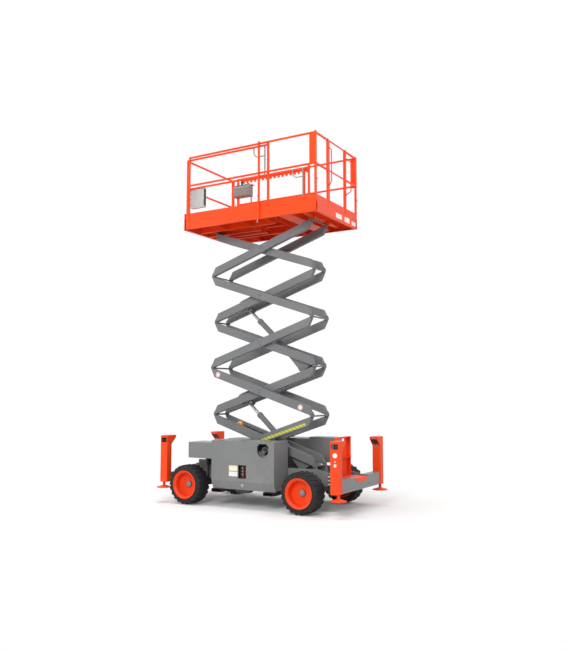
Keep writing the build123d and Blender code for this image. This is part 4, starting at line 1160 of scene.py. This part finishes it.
class LIFT_OT_controls(bpy.types.Operator):
    """The upper control box and the manual box on the rails"""

    bl_idname = "lift.controls"
    bl_label = "Controls"
    bl_options = {"REGISTER", "UNDO"}
    shells = (
        ("grey plastic", 1.0, "control_box"),
        ("black plastic", 0.4, "control_lever"),
        ("pale plastic", 1.0, "manual_box"),
    )

    def execute(self, context):
        sizes = context.scene.lift_sizes
        shelled(self.shells, sizes)
        self.box_details()
        self.manual_details(sizes)
        return {"FINISHED"}

    def box_details(self):
        """The panel, stop button, switches, lever and guard bars of the control box."""
        low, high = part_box("control_box")
        top, film = high.z, high.z + PLATE
        x, y = (low.x + 0.02, high.x - 0.02), (low.y + 0.015, high.y - 0.015)
        solid("control_panel", "panel", "extension", boxes=[(x, y, (top - SUNK, top + 0.0010))])
        button = [
            (0, 0), (0.012, 0), (0.012, 0.012), (0.020, 0.014), (0.020, 0.021), (0.015, 0.026), (0, 0.027),
        ]
        stop = row(button, UP, [(low.x + 0.055, -0.615, film)])
        solid("control_stop", "red plastic", "extension", turned=stop)
        key = [(0, 0), (0.010, 0), (0.010, 0.005), (0.006, 0.007), (0.006, 0.014), (0, 0.014)]
        columns = [low.x + 0.110 + 0.030 * n for n in range(3)]
        columns += [high.x - 0.085 + 0.030 * n for n in range(2)]
        spots = [(x, y, film) for x in columns for y in (-0.655, -0.600)]
        solid("control_switches", "black plastic", "extension", turned=row(key, UP, spots))
        grip = [(0, 0.030), (0.016, 0.030), (0.020, 0.045), (0.021, 0.085), (0.018, 0.099), (0, 0.1035)]
        boot = [
            (0, 0.0008), (0.033, 0.0008), (0.030, 0.008), (0.024, 0.012), (0.026, 0.018), (0.016, 0.028),
            (0, 0.030),
        ]
        lever = facing(UP, (1.055, -0.640, top))
        solid("control_grip", "black", "extension", turned=[(grip, lever), (boot, lever)])
        z = (top - 0.018, top - 0.002)
        bars = [
            ((low.x - 0.035, low.x + 0.055), (-0.690, -0.676), z),
            ((low.x - 0.035, low.x - 0.021), (-0.690, -0.600), z),
            ((high.x - 0.052, high.x - 0.028), (-0.699, -0.694), (top - 0.03, top + 0.115)),
        ]
        solid("control_guards", "orange", "extension", boxes=bars, edge=0.002)

    def manual_details(self, sizes):
        """A black strip along the rear end of the manual box, and its screws."""
        low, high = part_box("manual_box")
        x, y = (low.x - 0.002, low.x + 0.018), (low.y + 0.006, high.y + 0.003)
        rear_strip = (x, y, (low.z + 0.028, high.z - 0.028))
        solid("manual_hinge", "black plastic", "extension", boxes=[rear_strip], edge=0.003)
        screws = [
            ((x, y, z), (0, side, 0)) for side, y in ((1, high.y), (-1, low.y))
            for x in (low.x + 0.05, high.x - 0.04) for z in (low.z + 0.06, high.z - 0.06)
        ]
        bolts("manual_screws", "extension", screws, sizes.bolt * 0.4)


class LIFT_OT_stage(bpy.types.Operator):
    """Floor, soft lights and the camera"""

    bl_idname = "lift.stage"
    bl_label = "Stage"
    bl_options = {"REGISTER", "UNDO"}

    def execute(self, context):
        self.floor()
        self.world()
        self.lamps()
        self.camera()
        return {"FINISHED"}

    def floor(self):
        """A pale sweep: it keeps the shadow close by and melts into the backdrop further out."""
        bm = bmesh.new()
        add_box(bm, (-60.0, 60.0), (-60.0, 60.0), (-0.02, 0.0))
        floor = placed("floor", freed("floor", bm))
        finish = Finish("studio_floor", 0.9, Specular_IOR_Level=0.0)
        cloud = finish.noise(0.6, 2.0)
        tree = finish.tree
        path = tree.nodes.new("ShaderNodeLightPath")
        rays = ("Is Camera Ray", "Is Glossy Ray", "Is Transmission Ray")
        seen = sum(Value(finish, path.outputs[ray]) for ray in rays)
        pale = finish.mix(cloud, (0.87, 0.865, 0.86), (0.89, 0.885, 0.88))
        dim = (0.68, 0.68, 0.68)
        finish.feed("Base Color", finish.mix(seen, dim, pale))
        x, y, _ = finish.xyz()
        reach = finish.node("ShaderNodeMath", {"operation": "SQRT"}, x * x + y * y)
        smooth_step = {"interpolation_type": "SMOOTHSTEP"}
        near, away, least = 1.2, 6.0, 0.06
        far = finish.node("ShaderNodeMapRange", smooth_step, reach, near, away, least, 1.0)
        glow = grown(tree, "ShaderNodeEmission", {}, [("Strength", 1.0)])
        blend = grown(
            tree, "ShaderNodeMixShader", {},
            [(0, seen * far), (1, finish.shader.outputs[0]), (2, glow.outputs[0])],
        )
        tree.links.new(blend.outputs[0], tree.nodes["Material Output"].inputs["Surface"])
        floor.data.materials.append(finish.material)

    def world(self):
        """White to the camera and in reflections, dimmer as a light."""
        world = bpy.data.worlds.new("studio")
        bpy.context.scene.world = world
        world.use_nodes = True
        tree = world.node_tree
        tree.nodes.clear()
        path = tree.nodes.new("ShaderNodeLightPath")
        rays = [(n, path.outputs[ray]) for n, ray in enumerate(("Is Camera Ray", "Is Glossy Ray"))]
        seen = grown(tree, "ShaderNodeMath", {"operation": "MAXIMUM"}, rays)
        white = ("Color", (1.0, 1.0, 1.0, 1.0))
        whites = [
            grown(tree, "ShaderNodeBackground", {}, [white, ("Strength", strength)])
            for strength in (LIGHT_OF_ROOM, 1.0)
        ]
        links = [(0, seen.outputs[0]), (1, whites[0].outputs[0]), (2, whites[1].outputs[0])]
        blend = grown(tree, "ShaderNodeMixShader", {}, links)
        grown(tree, "ShaderNodeOutputWorld", {}, [(0, blend.outputs[0])])

    def lamps(self):
        # columns: name, place, aim, size, power
        lamps = [
            ("key", (-3.5, 12.0, 7.5), (0.0, 0.0, 2.5), 5.0, 1020.0),
            ("fill", (9.0, 7.0, 6.0), (0.0, 0.0, 2.5), 7.0, 300.0),
            ("back", (-8.0, -5.0, 8.0), (0.0, 0.0, 3.0), 6.0, 400.0),
            ("top", (1.5, 1.0, 15.0), (0.0, 0.0, 0.0), 6.0, 1100.0),
        ]
        for name, place, aim, size, power in lamps:
            light = bpy.data.lights.new(name, "AREA")
            light.size = size
            light.energy = power
            lamp = placed(name, light)
            lamp.location = place
            lamp.rotation_euler = (Vector(aim) - Vector(place)).to_track_quat("-Z", "Y").to_euler()

    def camera(self):
        azimuth, pitch = math.radians(210.49), math.radians(5.55)
        ahead = Vector((
            -math.sin(azimuth) * math.cos(pitch), math.cos(azimuth) * math.cos(pitch), math.sin(pitch)
        ))
        lens = bpy.data.cameras.new("camera")
        lens.lens = 39.57
        lens.sensor_width = 36.0
        lens.clip_end = 200.0
        camera = placed("camera", lens)
        camera.location = (-6.494, 10.562, 1.845)
        camera.rotation_euler = ahead.to_track_quat("-Z", "Y").to_euler()
        bpy.context.scene.camera = camera
        bpy.context.scene.view_settings.view_transform = "Standard"


OPERATORS = (
    LIFT_OT_arms, LIFT_OT_cylinders, LIFT_OT_hoses, LIFT_OT_chassis, LIFT_OT_modules, LIFT_OT_wheels,
    LIFT_OT_jacks, LIFT_OT_platform, LIFT_OT_controls, LIFT_OT_stage,
)


class LIFT_PT_panel(bpy.types.Panel):
    """Lists the pieces, their sizes and their colours"""

    bl_idname = "LIFT_PT_panel"
    bl_label = "Scissor lift"
    bl_space_type = "VIEW_3D"
    bl_region_type = "UI"
    bl_category = "Scissor lift"

    def draw(self, context):
        for group in (context.scene.lift_paints, context.scene.lift_sizes):
            for key in group.__annotations__:
                self.layout.prop(group, key)
        for operator in OPERATORS:
            self.layout.operator(operator.bl_idname)


CLASSES = (LiftPaints, LiftSizes, *OPERATORS, LIFT_PT_panel)


def register():
    for each in CLASSES:
        bpy.utils.register_class(each)
    bpy.types.Scene.lift_paints = PointerProperty(type=LiftPaints)
    bpy.types.Scene.lift_sizes = PointerProperty(type=LiftSizes)


def unregister():
    del bpy.types.Scene.lift_paints
    del bpy.types.Scene.lift_sizes
    for each in reversed(CLASSES):
        bpy.utils.unregister_class(each)


def main():
    register()
    for operator in OPERATORS:
        group, name = operator.bl_idname.split(".")
        getattr(getattr(bpy.ops, group), name)()


if __name__ == "__main__":
    main()
